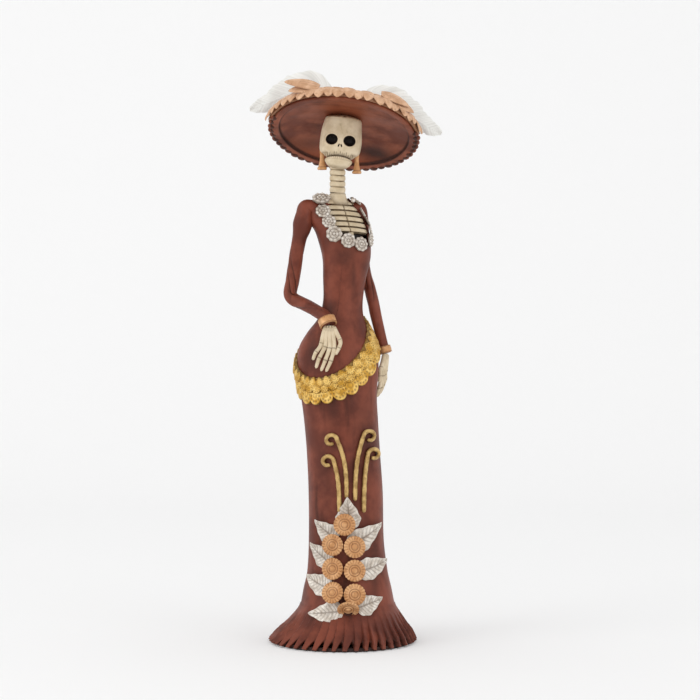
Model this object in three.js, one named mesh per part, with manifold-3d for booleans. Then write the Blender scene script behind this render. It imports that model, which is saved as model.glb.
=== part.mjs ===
// A papier-mache catrina: a tall skeleton lady in a long dress, with a wide feathered hat.
// The hollow dress stands on a round plate and hangs on a wooden rod. The head and hat are one piece that
// turns on, and lifts off, a dowel in the collar. The plumes pull out of the crown and the earrings swing.
//
// Millimetres, +Z up. The origin is the centre of the plate's underside and the figure faces -Y, so her
// right arm is on the -X side. Angles round the dress are measured from its front towards +X.
import * as THREE from "three";
import { mergeVertices } from "three/addons/utils/BufferGeometryUtils.js";
import Module from "manifold-3d";

const wasm = await Module();
wasm.setup();

// ---- Driving sizes ----
const GAP = 0.35; // between pieces that touch
const FIT = 0.3; // between a peg and its hole
const SHELL = 3; // wall of the papier-mache dress

const PLATE_INSET = 3.4; // the hem reaches this much further out than the plate
const PLATE_THICK = 3;
const BOSS_RADIUS = 8;
const BOSS_HEIGHT = 12;
const ROD_RADIUS = 2.5;
const WIRE_RADIUS = 0.9;

// Sections of the dress, from the floor up: height, half width, half depth, centre x, centre y and the
// turn in degrees, by which the chest looks to her left of the way that the skirt faces.
const DRESS = [
  { z: 3.4, a: 44.5, b: 44, x: 3, y: 0, turn: 0 },
  { z: 18, a: 44.5, b: 44, x: 4, y: 0, turn: 0 },
  { z: 26, a: 43, b: 42, x: 4.2, y: 0, turn: 0 },
  { z: 32, a: 40.8, b: 39.5, x: 4, y: 0, turn: 0 },
  { z: 46, a: 38, b: 36, x: 3.9, y: 0, turn: 0 },
  { z: 60, a: 34.8, b: 32.5, x: 3.9, y: 0, turn: 0 },
  { z: 87, a: 32.3, b: 30, x: 3, y: 0, turn: 0 },
  { z: 128, a: 31.8, b: 29.5, x: 2.4, y: 0, turn: 0 },
  { z: 162, a: 31.4, b: 29, x: 0.4, y: 0, turn: 0 },
  { z: 190, a: 31.8, b: 29, x: -1.7, y: 0, turn: 0 },
  { z: 212, a: 32.8, b: 28.5, x: -3.6, y: 0, turn: 0 },
  { z: 235, a: 35, b: 27.5, x: -4.2, y: 0, turn: 3 },
  { z: 252, a: 33.8, b: 24.5, x: -4.4, y: 0, turn: 8 },
  { z: 265, a: 27.5, b: 20, x: -3.8, y: 0, turn: 14 },
  { z: 278, a: 20, b: 15.5, x: -1.5, y: 0, turn: 20 },
  { z: 292, a: 17.8, b: 13, x: 0, y: 0, turn: 25 },
  { z: 312, a: 19.2, b: 14.5, x: 1.3, y: 0, turn: 25 },
  { z: 330, a: 21.3, b: 18, x: 3, y: 0, turn: 25 },
  { z: 346, a: 23.5, b: 18.5, x: 1, y: 0, turn: 25 },
  { z: 353, a: 24.5, b: 17.5, x: -1, y: 0, turn: 25 },
  { z: 359, a: 26, b: 15.5, x: -4, y: 0, turn: 25 },
  { z: 366, a: 25.5, b: 13.5, x: -6.5, y: 0, turn: 25 },
  { z: 373, a: 23, b: 11, x: -8.5, y: 0, turn: 25 },
  { z: 378, a: 20, b: 8.5, x: -9, y: 0, turn: 25 },
  { z: 380.5, a: 15, b: 5.5, x: -9, y: 0, turn: 25 },
];
const NECKLINE = { z: 361, halfWidth: 19.5, halfHeight: 23 };
const DRESS_SIDES = 22;

// The slanted line of the belt: its height over the origin and its rise per millimetre in x and in y.
const BELT = { z: 262, riseX: 0.5, riseY: 1, scales: 9, petal: 14.5, thick: 2.2, petals: 19 };
const SEAM_DROP = 13; // the seam of bodice and skirt, under the belt

const HEM = { top: 27, radius: 62.4, pleats: 40, depth: 4, thick: 1.5 };

const SLEEVE = { shoulder: 6, rightWrist: 6, leftWrist: 4, elbow: 5.6 };
const BRACELET = { thick: 1.3, wide: 6.6 };

const NECK = { x: -4.7, y: 1, seat: 385, top: 405, radius: 6.7 };
const COLLAR = { radius: 9, foot: 375, stem: 4, stemFoot: 356 };
const RIBS = { low: 350.8, high: 374.8, count: 5, reach: 80, thick: 2.4, groove: 1.3 };
const DOWEL = { radius: 2, foot: 366, top: 402 };
const HEAD_ROLL = 6.5;

const SKULL = [
  { z: 12.3, a: 9.5, b: 11, y: -3.5 },
  { z: 14, a: 11.3, b: 13, y: -3 },
  { z: 16.5, a: 12.2, b: 14.5, y: -2.5 },
  { z: 18.3, a: 15.5, b: 15.5, y: -2.5 },
  { z: 20.5, a: 17.2, b: 16.8, y: -2 },
  { z: 27, a: 18, b: 18, y: -1 },
  { z: 36, a: 17.8, b: 18, y: -0.5 },
  { z: 42, a: 17.2, b: 17, y: -1 },
  { z: 45.6, a: 15.8, b: 15, y: -1.5 },
  { z: 47, a: 12.5, b: 12, y: -2 },
];
const SKULL_SIDES = 16;
const SKULL_BOX = 2.6; // roundness of a section: 2 is an ellipse, more is squarer
const EYE = { radius: 4.8, apart: 15.2, z: 26.3, deep: 6 };
const MOUTH_ARCH = 2.4; // the mouth is this much higher at its middle
const JAW = [
  { z: 1.6, a: 7.5, b: 6, y: -8 },
  { z: 3.5, a: 10.3, b: 8.5, y: -7.5 },
  { z: 7.5, a: 12, b: 10.5, y: -6.5 },
  { z: 11.95, a: 10.8, b: 10.5, y: -6 },
];

const HAT = { x: 1.8, y: 2, z: 30.5, tilt: 22.6, radius: 62.5, thick: 3, hole: 14, dish: 11, lip: 7.5 };
const EDGING = { scallops: 66, wide: 2.8, thick: 3.6 };
const CROWN = { radius: 24, height: 19 };
const GARLAND = { from: -84, to: 78, leaves: 16, reach: 5 };
const QUILL = { radius: 1, deep: 8, x: 10.5, y: 21.5, z: 52.5, lean: [0.45, 0.2, 0.87] };
const PLUME = { length: 84, wide: 14.5, thick: 1.5, droop: 27 };

const HOOK = { radius: 2.4, wire: 0.4, x: 15, y: -1, z: 17.1 };
const EARRING = { eye: 1.2, rim: 2.3, thick: 1.2, length: 18, wide: 3.7, deep: 2.6 };

const ROSETTE = { between: 0.5, thick: 2.6, count: 11, spread: 142 };
const FLOWER = { radius: 9, thick: 2.6, stand: 8.5, stalk: 3.4, x: 0.5, low: 44.6 };
const FLOWER_GAP = { besides: 0.5, between: 2.2 };
const LEAF = { width: 15.5, thick: 1.7, lift: 4 };
const SCROLL = { wire: 1.7, radius: 4.8 };

// ---- Finishes ----
const finish = (color, roughness, metalness) =>
  new THREE.MeshStandardMaterial({ color, roughness, metalness });
const brownPaint = finish(0x7a4233, 0.75, 0);
const bonePaint = finish(0xcfc0a2, 0.7, 0);
const silverPaint = finish(0xb9b7b2, 0.45, 0.6);
const goldPaint = finish(0xcfa244, 0.45, 0.6);
const copperPaint = finish(0xd09a6c, 0.5, 0.45);
const whitePlume = finish(0xeeeeec, 0.85, 0);
const bareWood = finish(0xb08a5c, 0.8, 0);
const steelWire = finish(0x8c8c8c, 0.4, 0.9);

const figure = new THREE.Group();
const head = new THREE.Group();
head.position.set(NECK.x, NECK.y, NECK.top);
head.rotation.y = THREE.MathUtils.degToRad(HEAD_ROLL);
const hat = new THREE.Group();
hat.position.set(HAT.x, HAT.y, HAT.z);
hat.rotation.x = THREE.MathUtils.degToRad(-HAT.tilt);
head.add(hat);
figure.add(head);
figure.updateMatrixWorld(true);

// ---- Working with shapes ----
const { sin, cos, PI, hypot, atan2, asin, round, min, max, abs } = Math;
const radians = THREE.MathUtils.degToRad;
const vector = (x, y, z) => new THREE.Vector3(x, y, z);

function warp(geometry, place) {
  const p = geometry.attributes.position;
  for (let i = 0; i < p.count; i++) p.setXYZ(i, ...place(p.getX(i), p.getY(i), p.getZ(i)));
  return geometry;
}

// A capped tube: place gets how far along it a vertex is (0 to 1), its angle round it, and 1 on the wall or
// 0 at a cap's middle. The tube runs the way that the thumb points when the angle grows with the fingers.
function loft(steps, sides, place) {
  const tube = new THREE.CylinderGeometry(1, 1, 1, sides, steps).rotateX(PI / 2);
  return warp(tube, (x, y, z) => place(round((z + 0.5) * steps) / steps, atan2(x, -y), round(hypot(x, y))));
}

// A closed ring: place gets the angle round the ring and the number of the section's corner, which are
// counted from the outside over the top to the inside.
function ring(steps, corners, place) {
  return warp(new THREE.TorusGeometry(1, 0.5, corners, steps), (x, y, z) => {
    const corner = round((atan2(z, hypot(x, y) - 1) * corners) / (2 * PI));
    return place(atan2(x, -y), (corner + corners) % corners);
  });
}

// A tube of changing radius along a smooth line through points.
function limb(points, radii, sides, steps) {
  const line = new THREE.CatmullRomCurve3(points, false, "centripetal");
  const frames = line.computeFrenetFrames(steps, false);
  return loft(steps, sides, (t, angle, rho) => {
    const i = round(t * steps);
    const r = rho * along(radii, t);
    const p = line.getPointAt(t);
    p.addScaledVector(frames.normals[i], r * sin(angle));
    p.addScaledVector(frames.binormals[i], -r * cos(angle));
    return p.toArray();
  });
}

// The value at t, 0 to 1, in a list of evenly spaced values.
function along(values, t) {
  const at = t * (values.length - 1);
  const i = min(values.length - 2, Math.floor(at));
  return values[i] + (values[i + 1] - values[i]) * (at - i);
}

function turned(profile, sides) {
  const points = profile.map(([r, z]) => new THREE.Vector2(r, z));
  return new THREE.LatheGeometry(points, sides).rotateX(PI / 2);
}

function cylinder(radius, low, high, sides = 16) {
  const upright = new THREE.CylinderGeometry(radius, radius, high - low, sides).rotateX(PI / 2);
  return upright.translate(0, 0, (low + high) / 2);
}

function toSolid(geometry) {
  const bare = new THREE.BufferGeometry();
  bare.setAttribute("position", geometry.attributes.position);
  bare.setIndex(geometry.index);
  const merged = mergeVertices(bare, 1e-4);
  const triVerts = new Uint32Array(merged.index.array);
  const vertProperties = merged.attributes.position.array;
  return new wasm.Manifold(new wasm.Mesh({ numProp: 3, vertProperties, triVerts }));
}

function toGeometry(solid) {
  const mesh = solid.getMesh();
  const geometry = new THREE.BufferGeometry();
  geometry.setAttribute("position", new THREE.BufferAttribute(new Float32Array(mesh.vertProperties), 3));
  geometry.setIndex(new THREE.BufferAttribute(new Uint32Array(mesh.triVerts), 1));
  return geometry;
}

function joined(...geometries) {
  return toGeometry(geometries.map(toSolid).reduce((whole, piece) => whole.add(piece)));
}

function cut(geometry, ...tools) {
  return toGeometry(tools.reduce((whole, tool) => whole.subtract(toSolid(tool)), toSolid(geometry)));
}

function add(name, geometry, material, group = figure) {
  const shown = geometry.index ? geometry.toNonIndexed() : geometry;
  shown.computeVertexNormals();
  const mesh = new THREE.Mesh(shown, material);
  mesh.name = name;
  group.add(mesh);
  return mesh;
}

// ---- The dress: a smooth line through its sections ----
function sectionAt(sections, z) {
  const last = sections.length - 1;
  let i = 0;
  while (i < last - 1 && z > sections[i + 1].z) i++;
  const [p, q] = [sections[i], sections[i + 1]];
  const [before, after] = [sections[max(0, i - 1)], sections[min(last, i + 2)]];
  const step = q.z - p.z;
  const t = min(1, max(0, (z - p.z) / step));
  const found = { z };
  for (const key of Object.keys(p)) {
    if (key === "z") continue;
    const leave = ((q[key] - before[key]) / (q.z - before.z)) * step;
    const arrive = ((after[key] - p[key]) / (after.z - p.z)) * step;
    const bend = t * (1 - t) * ((1 - t) * (leave - (q[key] - p[key])) - t * (arrive - (q[key] - p[key])));
    found[key] = p[key] + (q[key] - p[key]) * t + bend;
  }
  return found;
}

// A point of the dress's surface, moved outwards by offset.
function dressPoint(z, angle, offset = 0) {
  const s = sectionAt(DRESS, z);
  const x = (s.a + offset) * sin(angle);
  const y = -(s.b + offset) * cos(angle);
  const turn = radians(s.turn);
  return vector(s.x + x * cos(turn) - y * sin(turn), s.y + x * sin(turn) + y * cos(turn), z);
}

function dressNormal(z, angle) {
  const round = dressPoint(z, angle + 0.02).sub(dressPoint(z, angle - 0.02));
  const up = dressPoint(z + 0.5, angle).sub(dressPoint(z - 0.5, angle));
  return round.cross(up).normalize();
}

// Heights from the floor up that follow every section, no further apart than step.
function levels(low, high, step) {
  const stops = [low, ...DRESS.map((s) => s.z).filter((z) => z > low + 1 && z < high - 1), high];
  return stops.flatMap((z, i) => {
    if (!i) return [z];
    const parts = Math.ceil((z - stops[i - 1]) / step);
    return Array.from({ length: parts }, (_, k) => stops[i - 1] + ((z - stops[i - 1]) * (k + 1)) / parts);
  });
}

function dressSolid(offset, low, high, step, sides) {
  const z = levels(low, high, step);
  return loft(z.length - 1, sides, (t, angle, rho) => {
    const height = z[round(t * (z.length - 1))];
    const s = sectionAt(DRESS, height);
    return vector(s.x, s.y, height).lerp(dressPoint(height, angle, offset), rho).toArray();
  });
}

const DRESS_FOOT = DRESS[0].z;
const DRESS_TOP = DRESS[DRESS.length - 1].z;
// What sits on the dress is cut by this, so that it rests on the dress all over.
const dressRoom = dressSolid(GAP, DRESS_FOOT - 1, DRESS_TOP + GAP, 40, DRESS_SIDES);

// A frame on the dress: x runs round it, y up it and z out of it.
function onDress(z, angle, offset, spin = 0) {
  const out = dressNormal(z, angle);
  const side = vector(0, 0, 1).cross(out).normalize();
  const frame = new THREE.Matrix4().makeBasis(side, out.clone().cross(side), out);
  frame.multiply(new THREE.Matrix4().makeRotationZ(spin));
  return frame.setPosition(dressPoint(z, angle, offset));
}

// The angle round the dress of a point of its front, x to the side of the origin.
function frontAngle(x, z) {
  const s = sectionAt(DRESS, z);
  return asin(max(-1, min(1, (x - s.x) / s.a)));
}

// ---- Base plate, rod and collar ----
const atNeck = (geometry) => geometry.translate(NECK.x, NECK.y, 0);
const bossTop = PLATE_THICK + BOSS_HEIGHT;
const boss = atNeck(cylinder(BOSS_RADIUS, PLATE_THICK - 1, bossTop, 20));
const rodHole = atNeck(cylinder(ROD_RADIUS + FIT, PLATE_THICK, bossTop + 1, 12));
const plate = cylinder(HEM.radius - PLATE_INSET, 0, PLATE_THICK, 40);
add("base_plate", cut(joined(plate, boss), rodHole), bareWood);

const rodTop = DOWEL.foot - 4;
add("support_rod", atNeck(cylinder(ROD_RADIUS, PLATE_THICK + GAP, rodTop, 12)), bareWood);

function collarProfile(grow) {
  return [
    [COLLAR.stem + grow, COLLAR.stemFoot - grow],
    [COLLAR.stem + grow, COLLAR.foot - grow],
    [COLLAR.radius + grow, COLLAR.foot - grow],
    [COLLAR.radius + grow - 0.6, COLLAR.foot + 3],
    [NECK.radius + grow + 0.3, NECK.seat - 3],
    [NECK.radius + grow, NECK.seat],
  ];
}
const collarBores = [
  [DOWEL.radius + FIT, NECK.seat],
  [DOWEL.radius + FIT, DOWEL.foot - GAP],
  [0, DOWEL.foot - GAP],
];
const rodSocket = [
  [0, rodTop + GAP],
  [ROD_RADIUS + FIT, rodTop + GAP],
  [ROD_RADIUS + FIT, COLLAR.stemFoot],
];
add("collar", atNeck(turned([...rodSocket, ...collarProfile(0), ...collarBores], 16)), bonePaint);
const collarRoom = atNeck(turned([[0, COLLAR.stemFoot - GAP], ...collarProfile(GAP), [0, NECK.seat]], 12));
add("neck_dowel", atNeck(cylinder(DOWEL.radius, DOWEL.foot, DOWEL.top, 12)), bareWood);

// ---- Neck: a stack of vertebrae that turns on the dowel and carries the skull ----
const neckFoot = NECK.seat + GAP;
const neckTop = NECK.top + 14;
const vertebra = (NECK.top - neckFoot) / 4;

function neckProfile(grow) {
  const r = NECK.radius + grow;
  const grooves = [1, 2, 3].flatMap((i) => {
    const z = neckFoot + i * vertebra;
    return [
      [r, z - 0.7],
      [r - 0.7, z],
      [r, z + 0.7],
    ];
  });
  const top = neckTop + grow;
  return [[r, neckFoot], ...(grow ? [] : grooves), [r, NECK.top], [r - 1.2, top], [0, top]];
}
const neckBore = [
  [0, DOWEL.top + GAP],
  [DOWEL.radius + FIT, DOWEL.top + GAP],
  [DOWEL.radius + FIT, neckFoot],
];
add("neck_column", atNeck(turned([...neckBore, ...neckProfile(0)], 16)), bonePaint);
const neckRoom = atNeck(turned([[0, neckFoot], ...neckProfile(GAP)], 16));
neckRoom.applyMatrix4(head.matrixWorld.clone().invert());

// ---- Skull and jaw, in the head's own frame ----
function headLoft(sections, grow, steps, from, to) {
  return loft(steps, SKULL_SIDES, (t, angle, rho) => {
    const s = sectionAt(sections, from + (to - from) * t);
    const box = (abs(sin(angle)) ** SKULL_BOX + abs(cos(angle)) ** SKULL_BOX) ** (-1 / SKULL_BOX);
    const x = rho * (s.a + grow) * box * sin(angle);
    const y = s.y - rho * (s.b + grow) * box * cos(angle);
    const swell = t === 0 ? -grow : t === 1 ? grow : 0;
    return [x, y, s.z + swell - archDrop(x, s.z)];
  });
}

// The mouth is an arch: the jaw's top edge and the skull's lower edge drop towards the cheeks.
function archDrop(x, z) {
  const near = max(0, 1 - abs(z - JAW[JAW.length - 1].z) / 6);
  return MOUTH_ARCH * near * min(1, (x / JAW[2].a) ** 2);
}

function earHook(side, grow) {
  const wire = new THREE.TorusGeometry(HOOK.radius, HOOK.wire + grow, 5, 14).rotateY(PI / 2);
  return wire.translate(side * HOOK.x, HOOK.y, HOOK.z);
}

function eyeSocket(side) {
  const socket = new THREE.SphereGeometry(EYE.radius, 10, 6).scale(1, EYE.deep / EYE.radius, 0.94);
  const front = sectionAt(SKULL, EYE.z);
  return socket.translate((side * EYE.apart) / 2, front.y - front.b + 1, EYE.z);
}

function nostril(side) {
  const front = sectionAt(SKULL, EYE.z - 5);
  const slit = new THREE.SphereGeometry(1, 6, 4).scale(0.5, 2, 1.4).rotateY(side * 0.35);
  return slit.translate(side * 1, front.y - front.b, EYE.z - 5);
}

const skullFoot = SKULL[0].z;
const skullTop = SKULL[SKULL.length - 1].z;
const skull = headLoft(SKULL, 0, 10, skullFoot, skullTop);
const skullRoom = headLoft(SKULL, GAP, 10, skullFoot, skullTop);
const sides = [-1, 1];
const hookHoles = sides.map((s) => earHook(s, FIT));
const faceHoles = [...sides.map(eyeSocket), ...sides.map(nostril)];
add("skull", cut(skull, neckRoom, ...hookHoles, ...faceHoles), bonePaint, head);
add("jaw", cut(headLoft(JAW, 0, 4, JAW[0].z, JAW[3].z), neckRoom, skullRoom), bonePaint, head);

// ---- Earrings: a wire ring in each cheek, and a drop that hangs plumb from it ----
function earring(side) {
  const { wide, deep, length, rim, eye, thick } = EARRING;
  const hole = HOOK.z - HOOK.radius + HOOK.wire + GAP - eye;
  const pivot = head.localToWorld(vector(side * HOOK.x, HOOK.y, hole));
  const shape = [
    [-rim * 0.6, 1.5, thick / 2],
    [-rim - 2, 1.5, 1.3],
    [-length * 0.55, wide * 0.62, deep * 0.75],
    [rim + 1 - length, wide, deep],
    [rim - length, wide * 0.9, deep * 0.9],
  ].reverse();
  const drop = loft(4, 10, (t, angle, rho) => {
    const [z, a, b] = shape[round(t * 4)];
    return [rho * a * sin(angle), -rho * b * cos(angle), z];
  });
  const plate = new THREE.CylinderGeometry(rim, rim, thick, 12);
  const bore = new THREE.CylinderGeometry(eye, eye, thick * 4, 10);
  return cut(joined(drop, plate), bore).translate(pivot.x, pivot.y, pivot.z);
}
for (const [side, name] of [
  [-1, "right"],
  [1, "left"],
]) {
  add(name + "_ear_hook", earHook(side, 0), copperPaint, head);
  add(name + "_earring", earring(side), copperPaint);
}

// ---- Hat, in its own frame: a wide dish with a flat lip, and a low crown over the skull ----
const lip = HAT.radius - HAT.lip;
const brim = turned(
  [
    [HAT.hole, HAT.dish],
    [HAT.radius * 0.36, HAT.dish],
    [HAT.radius * 0.53, HAT.dish * 0.86],
    [HAT.radius * 0.72, HAT.dish * 0.59],
    [lip - 0.6, 3],
    [lip, 0.8],
    [HAT.radius, 0],
    [HAT.radius, HAT.thick],
    [lip, HAT.thick * 2],
    [HAT.radius * 0.53, HAT.dish * 0.86 + HAT.thick],
    [CROWN.radius + 2, HAT.dish + HAT.thick],
    [HAT.hole, HAT.dish + HAT.thick],
    [HAT.hole, HAT.dish],
  ],
  36,
);
const skullInHat = skullRoom.clone().applyMatrix4(hat.matrix.clone().invert());
add("hat_brim", cut(brim, skullInHat), brownPaint, hat);

const crownFoot = HAT.dish + HAT.thick + GAP;
const crown = turned(
  [
    [0, crownFoot],
    [CROWN.radius, crownFoot],
    [CROWN.radius * 0.99, crownFoot + CROWN.height * 0.35],
    [CROWN.radius * 0.88, crownFoot + CROWN.height * 0.75],
    [CROWN.radius * 0.6, crownFoot + CROWN.height * 0.95],
    [0, crownFoot + CROWN.height],
  ],
  20,
);

const edging = ring(EDGING.scallops * 2, 3, (angle, corner) => {
  const [out, z] = [
    [EDGING.wide, HAT.thick / 2],
    [GAP, HAT.thick / 2 + EDGING.thick / 2],
    [GAP, HAT.thick / 2 - EDGING.thick / 2],
  ][corner];
  const notch = round((angle * EDGING.scallops) / PI) % 2 && !corner ? EDGING.wide * 0.6 : 0;
  const r = HAT.radius + out - notch;
  return [r * sin(angle), -r * cos(angle), z];
});
add("hat_edging", edging, brownPaint, hat);

// A garland of copper leaves lies over the front of the brim and hangs over its edge.
function garlandStrip() {
  const section = [
    [HAT.radius + GARLAND.reach, 1],
    [HAT.radius + 1.2, 9.5],
    [lip + 2.8, 12],
    [lip - 2, HAT.thick * 2 + 1.4],
    [HAT.radius - 0.5, HAT.thick * 2 + 0.7],
    [HAT.radius + GARLAND.reach - 1.6, HAT.thick * 2 - 1],
    [HAT.radius + GARLAND.reach - 1.2, 0.4],
  ];
  const steps = GARLAND.leaves * 2;
  return loft(steps, section.length, (t, angle, rho) => {
    const corner = (round((angle * section.length) / (2 * PI)) + section.length) % section.length;
    const place = radians(GARLAND.to + (GARLAND.from - GARLAND.to) * t);
    const middle = [HAT.radius + 1, HAT.thick * 2 + 2];
    const [r, z] = rho ? section[corner] : middle;
    const gap = round(t * steps) % 2 === 0 && (corner === 0 || corner === 6) && rho ? 2.4 : 0;
    return [r * sin(place), -r * cos(place), z + gap];
  });
}

// A leaf that points along the brim, away from its front, and lifts off it by some degrees.
function looseLeaf(degrees, rise, length) {
  const leaf = new THREE.SphereGeometry(1, 6, 6).rotateZ(PI / 2);
  leaf.scale(length / 2, 4.6, 1.3).translate(length / 2 - 4, 0, 0);
  leaf.rotateY(radians(-rise)).rotateZ(radians(degrees < 0 ? degrees + 172 : degrees + 8));
  const place = radians(degrees);
  return leaf.translate((HAT.radius - 4) * sin(place), (4 - HAT.radius) * cos(place), 12);
}
const garland = joined(garlandStrip(), looseLeaf(-24, 14, 29), looseLeaf(18, 8, 22), looseLeaf(36, 8, 20));
add("hat_garland", garland, copperPaint, hat);

// ---- Plumes: a quill that plugs into the crown, and a broad vane that arches out over the brim ----
function plumeLine(side) {
  const lean = vector(...QUILL.lean).normalize();
  const foot = vector(QUILL.x, QUILL.y, QUILL.z);
  const points = [-QUILL.deep, 0, QUILL.deep * 0.6].map((d) => foot.clone().addScaledVector(lean, d));
  const { length, droop } = PLUME;
  const rise = side < 0 ? 2.4 : -2.4;
  points.push(vector(length * 0.24, QUILL.y + 4, QUILL.z + 16));
  points.push(vector(length * 0.38, QUILL.y + 5, QUILL.z + 18 + rise * 0.8));
  points.push(vector(length * 0.54, QUILL.y + 5.5, QUILL.z + 12.5 + rise * 1.1));
  points.push(vector(length * 0.7, QUILL.y + 5, QUILL.z + 18 - droop * 0.5 + rise));
  points.push(vector(length * 0.84, QUILL.y + 4, QUILL.z + 17 - droop * 0.69 + rise * 0.7));
  points.push(vector(length, QUILL.y + 3, QUILL.z + 16 - droop * 0.86 + rise * 0.4));
  return new THREE.CatmullRomCurve3(points.map((p) => p.setX(side * p.x + HAT.x)), false, "centripetal");
}
const VANE = [1, 1, 1, 0.3, 0.6, 0.85, 1, 1, 0.98, 0.9, 0.76, 0.61, 0.48, 0.35, 0.12];

function plume(side) {
  const line = plumeLine(side);
  const steps = 24;
  return loft(steps, 6, (t, angle, rho) => {
    const p = line.getPointAt(t);
    const way = line.getTangentAt(t);
    const up = vector(-way.z, 0, way.x).multiplyScalar(side).normalize();
    const through = way.clone().cross(up);
    const quill = t < 3 / VANE.length;
    const half = quill ? QUILL.radius : PLUME.wide * along(VANE, t);
    const thick = quill ? QUILL.radius : PLUME.thick * (1 - 0.5 * t);
    p.addScaledVector(up, rho * half * sin(angle)).addScaledVector(through, -rho * thick * cos(angle));
    return p.toArray();
  });
}

function quillHole(side) {
  const lean = vector(side * QUILL.lean[0], QUILL.lean[1], QUILL.lean[2]).normalize();
  const hole = cylinder(QUILL.radius + FIT, -QUILL.deep - GAP, QUILL.deep, 10);
  hole.applyQuaternion(new THREE.Quaternion().setFromUnitVectors(vector(0, 0, 1), lean));
  return hole.translate(HAT.x + side * QUILL.x, QUILL.y, QUILL.z);
}
const intoHat = hat.matrix.clone().invert();
const quillHoles = sides.map((s) => quillHole(s).applyMatrix4(intoHat));
add("hat_crown", cut(crown, skullInHat, ...quillHoles), brownPaint, hat);
add("right_plume", plume(-1), whitePlume, head);
add("left_plume", plume(1), whitePlume, head);

// ---- Arms: one wire runs from wrist to wrist through both sleeves and behind the collar ----
const points = (...rows) => rows.map((p) => vector(...p));
const rightArm = points(
  [-25, -8.5, 374],
  [-31, -10, 374],
  [-33.6, -10.5, 366],
  [-38.5, -6, 338],
  [-43.2, 1, 311],
  [-45.5, 5, 299],
  [-42, 4, 293.5],
  [-33, -4, 289.5],
  [-21.5, -16, 283],
  [-14.6, -23.6, 278],
  [-12, -26.6, 271.5],
);
const leftArm = points(
  [6, 9, 373.5],
  [12, 11.5, 373.5],
  [14.8, 13.5, 366],
  [16.6, 17, 345],
  [17.2, 18, 332],
  [19.2, 17, 316],
  [23.9, 15, 301],
  [28.6, 13, 279.5],
  [33, 12, 261],
  [36.9, 11, 247.8],
);
const { shoulder, elbow, rightWrist, leftWrist } = SLEEVE;
const rightUpper = [0.8, 0.9, 1, 1, 1].map((share) => share * shoulder);
const rightRadii = [...rightUpper, elbow, elbow, elbow, rightWrist * 0.9, rightWrist];
const leftUpper = [0.7, 0.85, 0.95, 0.92].map((share) => share * shoulder);
const leftRadii = [...leftUpper, elbow * 0.94, elbow * 0.9, elbow * 0.86, leftWrist];

// The last stretch of an arm: where the wrist is and which way it points.
function wristOf(line) {
  const end = line[line.length - 1];
  return { end, way: end.clone().sub(line[line.length - 2]).normalize() };
}

function intoPalm(line) {
  const { end, way } = wristOf(line);
  return end.clone().addScaledVector(way, 3);
}
const behindCollar = vector(NECK.x - 3, NECK.y + COLLAR.stem + WIRE_RADIUS + 1.5, 369);
const wireLine = [intoPalm(rightArm), ...rightArm.slice(1, -1).reverse(), behindCollar];
wireLine.push(...leftArm.slice(1, -1), intoPalm(leftArm));
const wireRoom = limb(wireLine, [WIRE_RADIUS + FIT, WIRE_RADIUS + FIT], 5, 40);
add("arm_wire", limb(wireLine, [WIRE_RADIUS, WIRE_RADIUS], 5, 40), steelWire);

// ---- Skirt and bodice: one hollow shell, joined along a slanted seam under the belt ----
function seamBlock(shift, up) {
  const reach = 500;
  const normal = vector(-BELT.riseX, -BELT.riseY, 1).normalize();
  const block = new THREE.BoxGeometry(reach, reach, reach).translate(0, 0, (up * reach) / 2);
  block.applyQuaternion(new THREE.Quaternion().setFromUnitVectors(vector(0, 0, 1), normal));
  return block.translate(0, 0, BELT.z - SEAM_DROP + shift);
}

function necklineCut() {
  const opening = new THREE.CylinderGeometry(NECKLINE.halfWidth, NECKLINE.halfWidth, 60, 20);
  opening.scale(1, 1, NECKLINE.halfHeight / NECKLINE.halfWidth).translate(0, -30, NECKLINE.z);
  const s = sectionAt(DRESS, NECKLINE.z);
  return opening.rotateZ(radians(s.turn)).translate(s.x, s.y, 0);
}

const hollow = dressSolid(-SHELL, DRESS_FOOT - 2, DRESS_TOP - SHELL, 60, 14);
const shell = cut(dressSolid(0, DRESS_FOOT, DRESS_TOP, 40, DRESS_SIDES), hollow);
const dressBottom = new THREE.BoxGeometry(200, 200, DRESS_FOOT - 0.02).translate(0, 0, DRESS_FOOT / 2 - 0.01);
add("skirt", cut(shell, seamBlock(-GAP / 2, 1), dressBottom), brownPaint);
add("bodice", cut(shell, seamBlock(GAP / 2, -1), necklineCut(), collarRoom, wireRoom), brownPaint);

// ---- Hem: a strip of knife pleats round the foot of the skirt ----
function hem(grow) {
  const foot = PLATE_THICK + GAP;
  return ring(HEM.pleats * 2, 7, (angle, corner) => {
    if (corner === 4) return dressPoint(HEM.top + grow, angle, HEM.thick + grow).toArray();
    if (corner === 5) return dressPoint(HEM.top + grow, angle, -1).toArray();
    if (corner === 6) return dressPoint(foot - grow, angle, -1).toArray();
    const [r, z, x] = [
      [HEM.radius, foot - grow, 0],
      [HEM.radius, foot + 2, 0],
      [HEM.radius - 4.8, 11, 1],
      [HEM.radius - 13.8, 18, 3],
    ][corner];
    const fold = round((angle * HEM.pleats) / PI) % 2 ? HEM.depth * (1 - corner / 4) : 0;
    const reach = r - fold + grow;
    return [x + reach * sin(angle), -reach * cos(angle), z];
  });
}
const hemRoom = hem(GAP);
add("hem_ruffle", cut(hem(0), dressRoom), brownPaint);

// ---- Belt: a band of small scales with a row of petals under it ----
function beltHeight(angle) {
  let z = BELT.z;
  for (let i = 0; i < 40; i++) {
    const p = dressPoint(z, angle);
    z += 0.4 * (BELT.z + BELT.riseX * p.x + BELT.riseY * p.y - z);
  }
  return z;
}

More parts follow.
